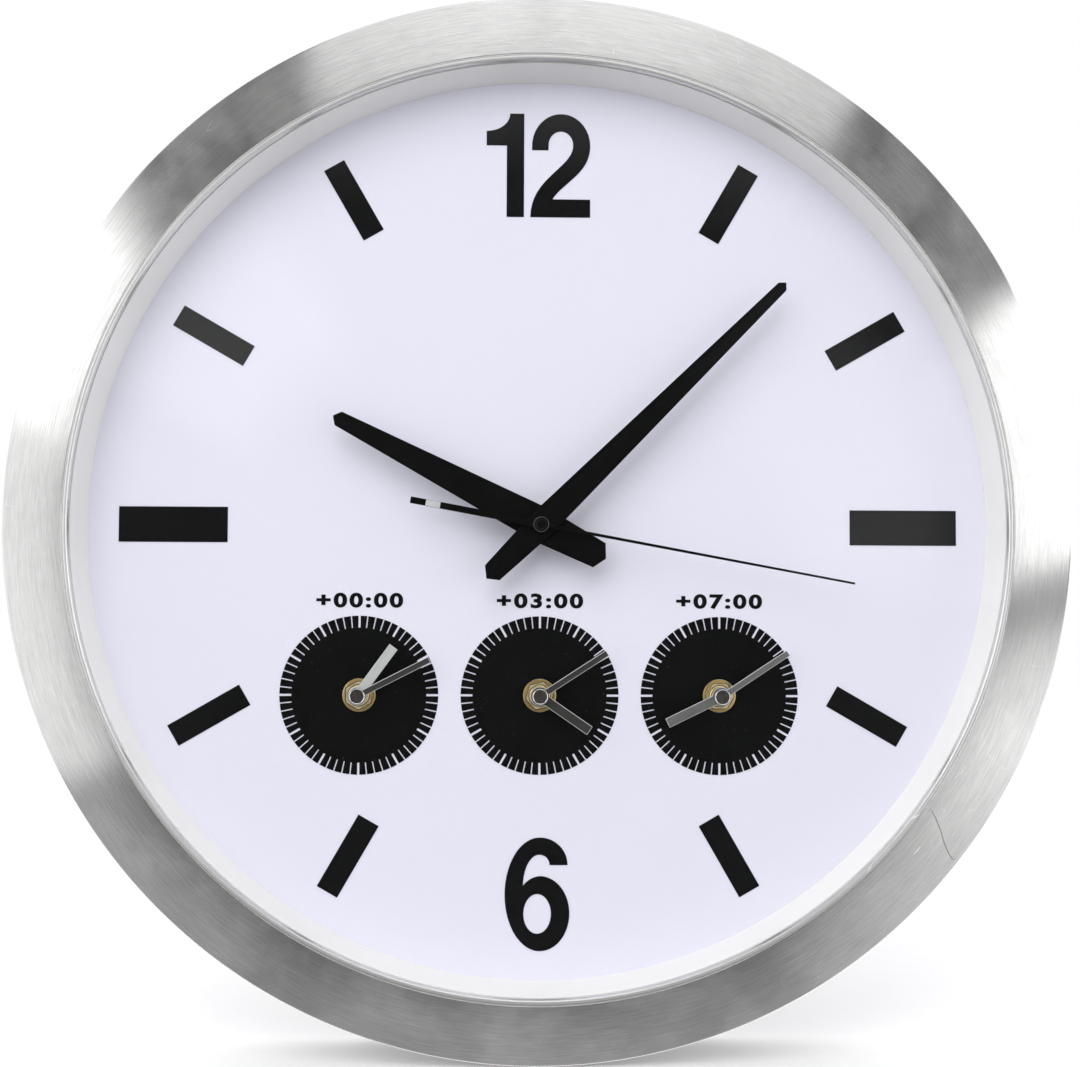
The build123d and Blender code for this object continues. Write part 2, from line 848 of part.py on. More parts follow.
def tray_shape(place):
    """Movement case: front wall and sides, a battery bay below and the works above."""
    depth = tray_depth - tray_wall
    works_height = inner_half - mechanism_floor
    works = shifted(place, 0, mechanism_floor + works_height / 2)
    bay = shifted(place, 0, battery_line)
    with BuildSketch(facing(tray_back, place)) as outline:
        RectangleRounded(movement_side, movement_side, movement_corner)
    extrude(outline.sketch, amount=tray_depth)
    block(facing(tray_back, works), 2 * inner_half, works_height, depth, Mode.SUBTRACT)
    block(facing(tray_back, bay), 2 * inner_half, bay_width, depth, Mode.SUBTRACT)
    hole = bushing_radius + bushing_hole_gap
    disc(facing(inner_wall, place), hole, tray_wall, Mode.SUBTRACT)
    stem = reach(place, setting_clock_angle, motion_centre_distance)
    pivot_hole = setting_pivot_radius + pivot_gap
    disc(facing(inner_wall, stem), pivot_hole, tray_wall / 2, Mode.SUBTRACT)
    board = board_place(place)
    post_front = board_level() + board_thickness
    for side in (-1, 1):
        post = shifted(board, board_width / 2 - board_post_inset, side * board_post_rise())
        disc(facing(post_front, post), board_post_radius, inner_wall - post_front)


def board_level():
    """Height of the circuit board's back face."""
    return stator_level - 2 * board_thickness


def board_post_rise():
    """Distance of each board post above or below the board's middle."""
    return board_height / 2 - board_post_inset


def board_place(place):
    """Middle of the circuit board, in the upper right corner of the works."""
    x = inner_half - board_edge_gap - board_width / 2
    z = inner_half - board_edge_gap - board_height / 2
    return shifted(place, x, z)


def bridge_middle():
    """Middle of the bridge plate in the main movement."""
    return shifted(main_place, 0, mechanism_floor + bridge_floor_gap + bridge_height / 2)


def bridge_posts():
    """Places of the four posts that carry the bridge."""
    half_width = bridge_width / 2 - bridge_post_inset
    half_height = bridge_height / 2 - bridge_post_inset
    middle = bridge_middle()
    return [
        shifted(middle, x * half_width, z * half_height) for x in (-1, 1) for z in (-1, 1)
    ]


def make_main_case():
    """Case of the main movement, with posts for the bridge."""
    with BuildPart() as case:
        tray_shape(main_place)
        for post in bridge_posts():
            disc(facing(bridge_front, post), bridge_post_radius, inner_wall - bridge_front)
            spigot_back = bridge_back - bridge_spigot_proud
            disc(facing(spigot_back, post), bridge_spigot_radius, inner_wall - spigot_back)
    write(case, "main_case")


def make_zone_case(side):
    """Case of one zone movement."""
    with BuildPart() as case:
        tray_shape(zone_places[side])
    write(case, f"{side}_case")


def stator_posts(place):
    """Places under the stator's legs where the cover holds it."""
    rotor = rotor_offset(place)
    rise = stator_plate_height / 2
    return [
        shifted(rotor, -stator_left + stator_leg / 2, rise),
        shifted(rotor, stator_right - stator_leg / 2, rise),
    ]


def rotor_offset(place):
    """Rotor axis of a movement."""
    step = second_centre_distance + rotor_centre_distance
    return reach(place, intermediate_clock_angle, step)


def bearing(place, hole_radius):
    """Boss on the inside of a cover with a blind hole for a pivot."""
    disc(facing(tray_back, place), bearing_boss_radius, bearing_boss_height)
    hole_back = tray_back - bearing_hole_depth
    depth = bearing_boss_height + bearing_hole_depth
    disc(facing(hole_back, place), hole_radius, depth, Mode.SUBTRACT)


def cover_shape(place):
    """Cover over a movement's works, with the opening for the setting stem."""
    height = movement_side / 2 - bay_top
    middle = shifted(place, 0, bay_top + height / 2)
    with BuildSketch(facing(cover_back, middle)) as outline:
        RectangleRounded(movement_side, height, movement_corner / 2)
    extrude(outline.sketch, amount=cover_thickness)
    for post in stator_posts(place):
        disc(facing(tray_back, post), bearing_boss_radius, stator_level - tray_back)
    stem = reach(place, setting_clock_angle, motion_centre_distance)
    stem_hole = setting_stem_radius + running_gap
    disc(facing(cover_back, stem), stem_hole, cover_thickness, Mode.SUBTRACT)


def make_main_cover():
    """Cover of the main movement, with the rear bearings of the going train."""
    with BuildPart() as cover:
        cover_shape(main_place)
        bearing(main_place, second_arbor_radius + pivot_gap)
        for place in (third_place, intermediate_place, rotor_place):
            bearing(place, pivot_radius + pivot_gap)
    write(cover, "main_cover")


def make_zone_covers():
    """Covers of the three zone movements, with a bearing for each minute arbor."""
    with BuildPart() as covers:
        for place in zone_places.values():
            cover_shape(place)
            bearing(place, arbor_radius + pivot_gap)
    write(covers, "zone_covers")


def battery_shape(place):
    """Round cell with a nub at the right end, lying in the battery bay."""
    left = place[0] - battery_length / 2
    z = place[1] + battery_line
    body_length = battery_length - battery_nub_length
    with BuildSketch(across(left, battery_height, z)) as end:
        Circle(battery_diameter / 2)
    extrude(end.sketch, amount=body_length)
    with BuildSketch(across(left + body_length, battery_height, z)) as nub:
        Circle(battery_nub_radius)
    extrude(nub.sketch, amount=battery_nub_length)


def make_batteries():
    """The main movement's cell, and the three zone cells in one node."""
    with BuildPart() as main_battery:
        battery_shape(main_place)
    write(main_battery, "main_battery")
    with BuildPart() as zone_batteries:
        for place in zone_places.values():
            battery_shape(place)
    write(zone_batteries, "zone_batteries")


def make_battery_contacts():
    """Sprung plates at both ends of each battery bay."""
    reach_in = inner_half - contact_sheet - battery_length / 2
    with BuildPart() as contacts:
        for place in all_places:
            z = place[1] + battery_line
            for side in (-1, 1):
                wall_x = place[0] + side * inner_half
                plate_x = wall_x - side * contact_sheet
                back_x = min(wall_x, plate_x)
                block(across(back_x, battery_height, z), contact_width, contact_width, contact_sheet)
                dome_x = min(plate_x, plate_x - side * reach_in)
                disc(across(dome_x, battery_height, z), contact_dome_radius, reach_in)
    write(contacts, "battery_contacts")


def stator_shape(place):
    """Stator sheet with the rotor bore, two legs and the core that passes through the coil."""
    rotor = rotor_offset(place)
    width = stator_left + stator_right
    middle = (stator_right - stator_left) / 2
    with BuildSketch(facing(stator_level, rotor)) as sheet:
        with Locations((middle, stator_reach / 2 - stator_plate_height / 4)):
            Rectangle(width, stator_reach + stator_plate_height / 2)
        window_height = stator_reach - stator_plate_height / 2 - stator_leg
        with Locations((middle, stator_plate_height / 2 + window_height / 2)):
            Rectangle(width - 2 * stator_leg, window_height, mode=Mode.SUBTRACT)
        Circle(stator_bore_radius, mode=Mode.SUBTRACT)
    extrude(sheet.sketch, amount=stator_thickness)


def coil_shape(place):
    """Coil wound round the stator's core."""
    rotor = rotor_offset(place)
    middle_x = rotor[0] + (stator_right - stator_left) / 2
    z = rotor[1] + stator_reach - stator_leg / 2
    level = stator_level + stator_thickness / 2
    with BuildSketch(across(middle_x - coil_length / 2, level, z)) as end:
        Circle(coil_radius)
        Rectangle(
            stator_thickness + 2 * coil_core_gap, stator_leg + 2 * coil_core_gap, mode=Mode.SUBTRACT
        )
    extrude(end.sketch, amount=coil_length)


def board_shape(place):
    """Circuit board of a movement."""
    middle = board_place(place)
    level = board_level()
    block(facing(level, middle), board_width, board_height, board_thickness)


def chip_shape(place):
    """Chip on the back of the circuit board."""
    chip_back = board_level() - chip_height
    middle = shifted(board_place(place), 0, -board_height / 4)
    block(facing(chip_back, middle), chip_side, chip_side, chip_height)


def crystal_shape(place):
    """Round can of the quartz crystal, lying on the back of the circuit board."""
    middle = shifted(board_place(place), 0, board_height / 4)
    can_left = middle[0] - crystal_length / 2
    with BuildSketch(across(can_left, board_level() - crystal_radius, middle[1])) as can:
        Circle(crystal_radius)
    extrude(can.sketch, amount=crystal_length)


def make_main_motor():
    """Circuit board, quartz crystal, stator and coil of the main movement."""
    with BuildPart() as board:
        board_shape(main_place)
        chip_shape(main_place)
    write(board, "main_circuit_board")
    with BuildPart() as crystal:
        crystal_shape(main_place)
    write(crystal, "main_quartz_crystal")
    with BuildPart() as stator:
        stator_shape(main_place)
    write(stator, "main_stator")
    with BuildPart() as coil:
        coil_shape(main_place)
    write(coil, "main_coil")


def make_zone_motors():
    """Circuit boards, stators and coils of the zone movements in one node."""
    with BuildPart() as motors:
        for place in zone_places.values():
            board_shape(place)
            chip_shape(place)
            crystal_shape(place)
            stator_shape(place)
            coil_shape(place)
    write(motors, "zone_motors")


def make_bridge():
    """Bridge plate between the going train and the motion work."""
    with BuildPart() as bridge:
        block(facing(bridge_back, bridge_middle()), bridge_width, bridge_height, bridge_thickness)
        for post in bridge_posts():
            hole = bridge_spigot_radius + press_gap
            disc(facing(bridge_back, post), hole, bridge_thickness, Mode.SUBTRACT)
        stem = reach(main_place, setting_clock_angle, motion_centre_distance)
        holes = [
            (main_place, minute_pipe_radius + pivot_gap),
            (stem, setting_stem_radius + pivot_gap),
            (third_place, pivot_radius + pivot_gap),
            (intermediate_place, pivot_radius + pivot_gap),
            (rotor_place, pivot_radius + pivot_gap),
        ]
        for place, radius in holes:
            disc(facing(bridge_back, place), radius, bridge_thickness, Mode.SUBTRACT)
    write(bridge, "main_bridge")


def arbor(place, front):
    """Plain arbor with a thin pivot at each end, from the cover bearing to the bridge."""
    back = bearing_top + shoulder_gap
    disc(facing(back, place), arbor_radius, front - back)
    pivot_back = tray_back - bearing_hole_depth + shoulder_gap
    disc(facing(pivot_back, place), pivot_radius, front + pivot_length - pivot_back)


# Going train of the main movement

def make_rotor():
    """Rotor arbor with its pinion, and the magnet pressed on it."""
    pinion_front = intermediate_level + wheel_thickness + level_gap
    with BuildPart() as magnet:
        disc(facing(magnet_level, rotor_place), rotor_magnet_radius, rotor_magnet_height)
        bore = arbor_radius + press_gap
        disc(facing(magnet_level, rotor_place), bore, rotor_magnet_height, Mode.SUBTRACT)
    write(magnet, "main_rotor_magnet")
    with BuildPart() as rotor:
        arbor(rotor_place, bridge_back - shoulder_gap)
        plane = facing(intermediate_level - level_gap, rotor_place, intermediate_clock_angle + 180)
        thickness = pinion_front - intermediate_level + level_gap
        toothed_disc(plane, rotor_pinion_teeth, rotor_pinion_radius, thickness, True)
    write(rotor, "main_rotor")


def make_intermediate_wheel():
    """Wheel turned by the rotor, with the pinion that turns the second wheel."""
    pinion_length = second_wheel_level + wheel_thickness + level_gap - intermediate_level
    with BuildPart() as wheel:
        arbor(intermediate_place, bridge_back - shoulder_gap)
        up = facing(intermediate_level, intermediate_place, intermediate_clock_angle)
        teeth = intermediate_wheel_teeth
        toothed_disc(up, teeth, intermediate_wheel_radius, wheel_thickness, False)
        down = facing(intermediate_level, intermediate_place, intermediate_clock_angle + 180)
        teeth = intermediate_pinion_teeth
        toothed_disc(down, teeth, intermediate_pinion_radius, pinion_length, True)
    write(wheel, "main_intermediate_wheel")


def make_second_wheel():
    """Second wheel and pinion on the long arbor that carries the second hand."""
    arbor_back = tray_back - bearing_hole_depth + shoulder_gap
    arbor_front = dial_front + second_stand + second_hand_sheet + pipe_end_proud
    pinion_length = third_wheel_level + wheel_thickness + level_gap - second_wheel_level
    with BuildPart() as wheel:
        disc(facing(arbor_back), second_arbor_radius, arbor_front - arbor_back)
        up = facing(second_wheel_level, main_place, intermediate_clock_angle)
        toothed_disc(up, second_wheel_teeth, second_wheel_radius, wheel_thickness, False)
        side = facing(second_wheel_level, main_place, third_clock_angle)
        toothed_disc(side, second_pinion_teeth, second_pinion_radius, pinion_length, True)
    write(wheel, "main_second_wheel")


def make_third_wheel():
    """Third wheel, between the second wheel's pinion and the centre wheel."""
    pinion_length = centre_wheel_level + wheel_thickness + level_gap - third_wheel_level
    with BuildPart() as wheel:
        arbor(third_place, bridge_back - shoulder_gap)
        side = facing(third_wheel_level, third_place, third_clock_angle + 180)
        toothed_disc(side, third_wheel_teeth, third_wheel_radius, wheel_thickness, False)
        toothed_disc(side, third_pinion_teeth, third_pinion_radius, pinion_length, True)
    write(wheel, "main_third_wheel")


def make_centre_wheel():
    """Centre wheel, which slips on the minute pipe when the hands are set."""
    with BuildPart() as wheel:
        plane = facing(centre_wheel_level, main_place, third_clock_angle)
        toothed_disc(plane, centre_wheel_teeth, centre_wheel_radius, wheel_thickness, False)
        bore = minute_pipe_radius + pivot_gap
        disc(facing(centre_wheel_level), bore, wheel_thickness, Mode.SUBTRACT)
    write(wheel, "main_centre_wheel")


# Motion work, the same in all four movements

def cannon_pinion(place):
    """Pinion on the minute pipe or arbor that turns the setting wheel."""
    plane = facing(setting_wheel_level - level_gap, place, setting_clock_angle)
    thickness = wheel_thickness + 2 * level_gap
    toothed_disc(plane, cannon_teeth, cannon_radius, thickness, True)


def make_minute_pipe():
    """Minute pipe of the main movement, with its flange and cannon pinion."""
    front = dial_front + main_minute_stand + main_hand_sheet + pipe_end_proud
    with BuildPart() as pipe:
        disc(facing(minute_pipe_end), minute_pipe_radius, front - minute_pipe_end)
        disc(facing(minute_pipe_end), minute_pipe_radius + wheel_thickness, wheel_thickness)
        cannon_pinion(main_place)
        bore = second_arbor_radius + running_gap
        disc(facing(minute_pipe_end), bore, front - minute_pipe_end, Mode.SUBTRACT)
    write(pipe, "main_minute_pipe")


def make_minute_arbor(side):
    """Solid minute arbor of a zone movement, with its cannon pinion."""
    place = zone_places[side]
    front = dial_front + zone_minute_stand + zone_hand_sheet
    thin_back = tray_back - bearing_hole_depth + shoulder_gap
    with BuildPart() as pipe:
        disc(facing(minute_pipe_end, place), minute_pipe_radius, front - minute_pipe_end)
        disc(facing(thin_back, place), arbor_radius, minute_pipe_end - thin_back)
        cannon_pinion(place)
    write(pipe, f"{side}_minute_arbor")


def make_setting_wheel(name, place):
    """Setting wheel: knob behind the cover, stem, wheel and pinion in one moulding."""
    stem = reach(place, setting_clock_angle, motion_centre_distance)
    back_to_centre = setting_clock_angle + 180
    knob_front = cover_back - setting_knob_gap
    knob_back = knob_front - setting_knob_height
    with BuildPart() as wheel:
        with BuildSketch(facing(knob_back, stem)) as knob:
            Circle(setting_knob_radius)
            with PolarLocations(setting_knob_radius, knob_flute_count):
                Circle(knob_flute_radius, mode=Mode.SUBTRACT)
        extrude(knob.sketch, amount=setting_knob_height)
        disc(facing(knob_front, stem), setting_stem_radius, setting_wheel_level - knob_front)
        plane = facing(setting_wheel_level, stem, back_to_centre)
        toothed_disc(plane, setting_wheel_teeth, setting_wheel_radius, wheel_thickness, False)
        pinion_length = setting_pinion_front - setting_wheel_level
        toothed_disc(plane, setting_pinion_teeth, setting_pinion_radius, pinion_length, True)
        pivot_front = inner_wall + tray_wall / 2 - shoulder_gap
        length = pivot_front - setting_pinion_front
        disc(facing(setting_pinion_front, stem), setting_pivot_radius, length)
    write(wheel, f"{name}_setting_wheel")


def make_hour_wheel(name, place, stand, sheet):
    """Hour wheel with the pipe that carries the hour hand."""
    front = dial_front + stand + sheet + pipe_end_proud
    length = front - hour_wheel_level
    with BuildPart() as wheel:
        plane = facing(hour_wheel_level, place, setting_clock_angle)
        toothed_disc(plane, hour_wheel_teeth, hour_wheel_radius, wheel_thickness, False)
        disc(facing(hour_wheel_level, place), hour_pipe_radius, length)
        bore = minute_pipe_radius + running_gap
        disc(facing(hour_wheel_level, place), bore, length, Mode.SUBTRACT)
    write(wheel, f"{name}_hour_wheel")


# Hands

def pointed_blade(length, tail, widths, angles):
    """Corners of a long hand that tapers both ways from its hub and ends in two points."""
    hub, tip, tail_end = widths
    tip_run = tip / 2 / tan(radians(angles[0] / 2))
    tail_run = tail_end / 2 / tan(radians(angles[1] / 2))
    return [
        (length, 0),
        (length - tip_run, tip / 2),
        (0, hub / 2),
        (-tail + tail_run, tail_end / 2),
        (-tail, 0),
        (-tail + tail_run, -tail_end / 2),
        (0, -hub / 2),
        (length - tip_run, -tip / 2),
    ]


def make_main_hour_hand():
    """Broad black hour hand, pressed on the hour pipe."""
    widths = (main_hour_hub_width, main_hour_tip_width, main_hour_tail_width)
    angles = (main_hour_tip_angle, main_hour_tail_angle)
    with BuildPart() as hand:
        with BuildSketch(facing(dial_front + main_hour_stand, main_place, main_hour_angle)):
            Polygon(*pointed_blade(main_hour_length, main_hour_tail, widths, angles), align=None)
            Circle(hour_pipe_radius + press_gap, mode=Mode.SUBTRACT)
        extrude(amount=main_hand_sheet)
    write(hand, "hour_hand")


def make_main_minute_hand():
    """Long black minute hand, pressed on the minute pipe."""
    widths = (main_minute_hub_width, main_minute_tip_width, main_minute_tail_width)
    angles = (main_minute_tip_angle, main_minute_tail_angle)
    with BuildPart() as hand:
        with BuildSketch(facing(dial_front + main_minute_stand, main_place, main_minute_angle)):
            Polygon(
                *pointed_blade(main_minute_length, main_minute_tail, widths, angles), align=None
            )
            Circle(minute_pipe_radius + press_gap, mode=Mode.SUBTRACT)
        extrude(amount=main_hand_sheet)
    write(hand, "minute_hand")


def make_second_hand():
    """Thin second hand with a wider tail, a collet behind and a round boss in front."""
    level = dial_front + second_stand
    collet_back = dial_front + main_minute_stand + main_hand_sheet + pipe_end_proud + level_gap
    with BuildPart() as hand:
        with BuildSketch(facing(level, main_place, second_angle)):
            Polygon(
                (second_length, second_tip_width / 2),
                (0, second_root_width / 2),
                (0, second_tail_width / 2),
                (-second_tail, second_tail_width / 2),
                (-second_tail, -second_tail_width / 2),
                (0, -second_tail_width / 2),
                (0, -second_root_width / 2),
                (second_length, -second_tip_width / 2),
                align=None,
            )
            Circle(second_collet_radius)
        extrude(amount=second_hand_sheet)
        disc(facing(collet_back), second_collet_radius, level - collet_back)
        boss_level = level + second_hand_sheet
        disc(facing(boss_level), second_boss_radius, second_boss_height)
        front_edge = hand.edges().filter_by(GeomType.CIRCLE).sort_by(Axis.Y)[0]
        chamfer(front_edge, second_boss_chamfer)
        bore_length = boss_level + pipe_end_proud + press_gap - collet_back
        disc(facing(collet_back), second_arbor_radius + press_gap, bore_length, Mode.SUBTRACT)
    write(hand, "second_hand")


def zone_hand(name, plane, length, width, eye_radius, bore):
    """Plain strip hand with a round eye at its axis."""
    with BuildPart() as hand:
        with BuildSketch(plane) as outline:
            with Locations((length / 2, 0)):
                Rectangle(length, width)
            Circle(eye_radius)
            Circle(bore, mode=Mode.SUBTRACT)
        extrude(outline.sketch, amount=zone_hand_sheet)
    write(hand, name)


def make_zone_hands(side):
    """Hour hand, minute hand and cap of one zone dial."""
    place = zone_places[side]
    hour_plane = facing(dial_front + zone_hour_stand, place, zone_hour_angles[side])
    hour_bore = hour_pipe_radius + press_gap
    zone_hand(
        f"{side}_hour_hand",
        hour_plane,
        zone_hour_length,
        zone_hour_width,
        zone_hour_eye_radius,
        hour_bore,
    )
    minute_plane = facing(dial_front + zone_minute_stand, place, zone_minute_angles[side])
    minute_bore = minute_pipe_radius + press_gap
    zone_hand(
        f"{side}_minute_hand",
        minute_plane,
        zone_minute_length,
        zone_minute_width,
        zone_minute_eye_radius,
        minute_bore,
    )
    with BuildPart() as cap:
        level = dial_front + zone_minute_stand + zone_hand_sheet
        disc(facing(level, place), cap_radius, cap_height)
        rim = cap.edges().filter_by(GeomType.CIRCLE).sort_by(Axis.Y)[0]
        chamfer(rim, cap_chamfer)
    write(cap, f"{side}_hand_cap")


make_bezel()
make_bezel_tabs()
make_cover_screws()
make_lens()
make_spacer_ring()
make_dial()
make_hour_markers()
make_zone_dials()
make_rear_housing()
make_hanger_plate()
make_hanger_screws()
make_bushings()
gasket_bore = bushing_radius + 2 * bushing_hole_gap
ring_set("gaskets", tray_front, gasket_radius, gasket_bore, gasket_thickness)
washer_bore = bushing_radius + bushing_hole_gap
ring_set("washers", dial_front, washer_radius, washer_bore, washer_thickness)
make_nuts()
make_battery_contacts()
make_batteries()
make_main_case()
make_main_cover()
make_zone_covers()
make_main_motor()
make_zone_motors()
make_bridge()
make_rotor()
make_intermediate_wheel()
make_second_wheel()
make_third_wheel()
make_centre_wheel()
make_minute_pipe()
make_setting_wheel("main", main_place)
make_hour_wheel("main", main_place, main_hour_stand, main_hand_sheet)
make_main_hour_hand()
make_main_minute_hand()
make_second_hand()
for zone, zone_place in zone_places.items():
    make_zone_case(zone)
    make_minute_arbor(zone)
    make_setting_wheel(zone, zone_place)
    make_hour_wheel(zone, zone_place, zone_hour_stand, zone_hand_sheet)
    make_zone_hands(zone)
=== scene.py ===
"""Looks of a world time clock: brushed rim, white dial, three zone dials and the back."""

import logging
import math
from abc import ABC, abstractmethod
from dataclasses import dataclass
from enum import Enum
from typing import Sequence

import bpy
import bmesh
from mathutils import Matrix, Vector


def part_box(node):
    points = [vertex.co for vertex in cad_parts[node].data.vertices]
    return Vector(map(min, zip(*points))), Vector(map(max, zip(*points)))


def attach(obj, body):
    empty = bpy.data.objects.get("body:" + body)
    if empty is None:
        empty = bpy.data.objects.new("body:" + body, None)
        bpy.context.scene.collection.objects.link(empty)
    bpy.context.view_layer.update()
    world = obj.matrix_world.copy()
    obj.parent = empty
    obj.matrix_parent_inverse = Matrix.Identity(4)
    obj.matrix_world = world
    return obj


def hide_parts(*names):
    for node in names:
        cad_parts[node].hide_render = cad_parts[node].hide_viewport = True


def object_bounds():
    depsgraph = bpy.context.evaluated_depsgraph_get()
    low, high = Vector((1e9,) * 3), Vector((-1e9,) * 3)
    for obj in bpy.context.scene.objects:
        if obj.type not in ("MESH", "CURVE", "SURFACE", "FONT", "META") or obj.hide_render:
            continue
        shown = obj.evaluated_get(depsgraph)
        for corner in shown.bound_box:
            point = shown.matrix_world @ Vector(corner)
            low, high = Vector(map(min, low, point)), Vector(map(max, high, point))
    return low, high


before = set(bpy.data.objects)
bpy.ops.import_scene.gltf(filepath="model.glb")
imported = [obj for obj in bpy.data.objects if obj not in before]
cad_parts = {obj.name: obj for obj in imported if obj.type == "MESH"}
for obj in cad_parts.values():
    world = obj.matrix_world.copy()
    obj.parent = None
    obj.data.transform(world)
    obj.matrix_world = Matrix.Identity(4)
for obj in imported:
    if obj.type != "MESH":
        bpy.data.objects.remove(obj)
cad_low, cad_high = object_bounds()

LOG = logging.getLogger("world_clock")
MM = 0.001
WALL = 23.0  # from the wall to the middle of the clock's depth
DIAL = 26.8  # from the wall to the dial's front
CENTRE = (0.0, 0.0)
FULL_TURN = 2 * math.pi
SMALL_STEPS, ROUND_STEPS = 64, 72  # steps round small and larger pieces
HOUSING = "housing"
Point = tuple[float, float]
Triple = tuple[float, float, float]
ZONES: dict[str, Point] = {"left": (-68.7, -64.6), "middle": (0.0, -64.6), "right": (68.7, -64.6)}


class Grain(Enum):
    """Ways in which a surface was worked."""

    SPUN = "spun"
    DRAWN = "drawn"
    PLAIN = "plain"


class ShaderTree:
    """Adds nodes to one shader tree and joins them."""

    def __init__(self, tree: bpy.types.NodeTree) -> None:
        """Keeps the node tree of a material, a group or the world."""
        self.tree = tree

    @classmethod
    def emptied(cls, holder: bpy.types.ID) -> "ShaderTree":
        """Opens the tree of a material or the world without its first nodes.

        Args:
            holder: Material or world.

        Returns:
            Its empty tree.
        """
        holder.use_nodes = True
        holder.node_tree.nodes.clear()
        return cls(holder.node_tree)

    def node(self, kind: str, inputs: dict | None = None, **settings: object) -> bpy.types.Node:
        """Adds a node.

        Args:
            kind: Blender's name of the node type.
            inputs: Values or sockets by input name or number.
            **settings: Attributes of the node.

        Returns:
            The new node.
        """
        made = self.tree.nodes.new(kind)
        for name, value in settings.items():
            setattr(made, name, value)
        for key, value in (inputs or {}).items():
            if isinstance(value, bpy.types.NodeSocket):
                self.tree.links.new(value, made.inputs[key])
            else:
                made.inputs[key].default_value = value
        return made

    def feed(self, target: bpy.types.Node, **sockets: bpy.types.NodeSocket) -> None:
        """Joins sockets to a node's inputs by their names."""
        for name, socket in sockets.items():
            self.tree.links.new(socket, target.inputs[name])

    def calc(self, operation: str, *terms: object) -> bpy.types.NodeSocket:
        """Adds a maths node for one to three values or sockets and returns its socket."""
        return self.node("ShaderNodeMath", dict(enumerate(terms)), operation=operation).outputs[0]

    def times(self, first: object, second: object) -> bpy.types.NodeSocket:
        """Multiplies two values or sockets and returns the result's socket."""
        return self.calc("MULTIPLY", first, second)

    def combine(self, x: object, y: object, z: object) -> bpy.types.NodeSocket:
        """Joins three values or sockets to one vector and returns its socket."""
        return self.node("ShaderNodeCombineXYZ", {0: x, 1: y, 2: z}).outputs[0]

    def split(self, vector: object) -> Sequence[bpy.types.NodeSocket]:
        """Returns the sockets of a vector's three parts."""
        return self.node("ShaderNodeSeparateXYZ", {0: vector}).outputs

    def noise(self, vector: object, scale: object, detail: float, rough: float,
              fourth: object | None = None) -> bpy.types.NodeSocket:
        """Adds a noise texture.

        Args:
            vector: Socket of the place.
            scale: Features in one unit.
            detail: Octaves.
            rough: Share of the finer octaves.
            fourth: Fourth coordinate, or None for three.

        Returns:
            Socket of the noise value.
        """
        inputs = {"Vector": vector, "Scale": scale, "Detail": detail, "Roughness": rough}
        size = "3D" if fourth is None else "4D"
        made = self.node("ShaderNodeTexNoise", inputs, noise_dimensions=size)
        if fourth is not None:
            self.feed(made, W=fourth)
        return made.outputs[0]

    def remap(self, value: object, low: object, high: object, to_low: object = 0.0,
              to_high: object = 1.0, smooth: bool = False) -> bpy.types.NodeSocket:
        """Maps a range to another one and keeps it inside.

        Args:
            value: Socket to map.
            low: Value that becomes to_low.
            high: Value that becomes to_high.
            to_low: Result at low.
            to_high: Result at high.
            smooth: Whether the change is eased at both ends.

        Returns:
            The result socket.
        """
        kind = "SMOOTHSTEP" if smooth else "LINEAR"
        inputs = {0: value, 1: low, 2: high, 3: to_low, 4: to_high}
        return self.node("ShaderNodeMapRange", inputs, interpolation_type=kind).outputs[0]

    def blend(self, share: object, first: object, second: object) -> bpy.types.NodeSocket:
        """Mixes two colours.

        Args:
            share: Share of the second one.
            first: Colour or its socket.
            second: Colour or its socket.

        Returns:
            Socket of the mixed colour.
        """
        made = self.node("ShaderNodeMix", {0: share}, data_type="RGBA")
        for number, value in ((6, first), (7, second)):
            if isinstance(value, bpy.types.NodeSocket):
                self.tree.links.new(value, made.inputs[number])
            else:
                made.inputs[number].default_value = (*value, 1.0)
        return made.outputs[2]

    def ramp(self, share: object, stops: Sequence[Point]) -> bpy.types.NodeSocket:
        """Adds a curve of grey values.

        Args:
            share: Socket between 0 and 1.
            stops: Pairs of position and value.

        Returns:
            Socket of the value.
        """
        made = self.node("ShaderNodeFloatCurve", {"Value": share})
        curve = made.mapping.curves[0]
        while len(curve.points) < len(stops):
            curve.points.new(0.5, 0.5)
        for spot, (place, value) in zip(curve.points, stops):
            spot.location = (place, value)
            spot.handle_type = "VECTOR"
        made.mapping.update()
        return made.outputs[0]


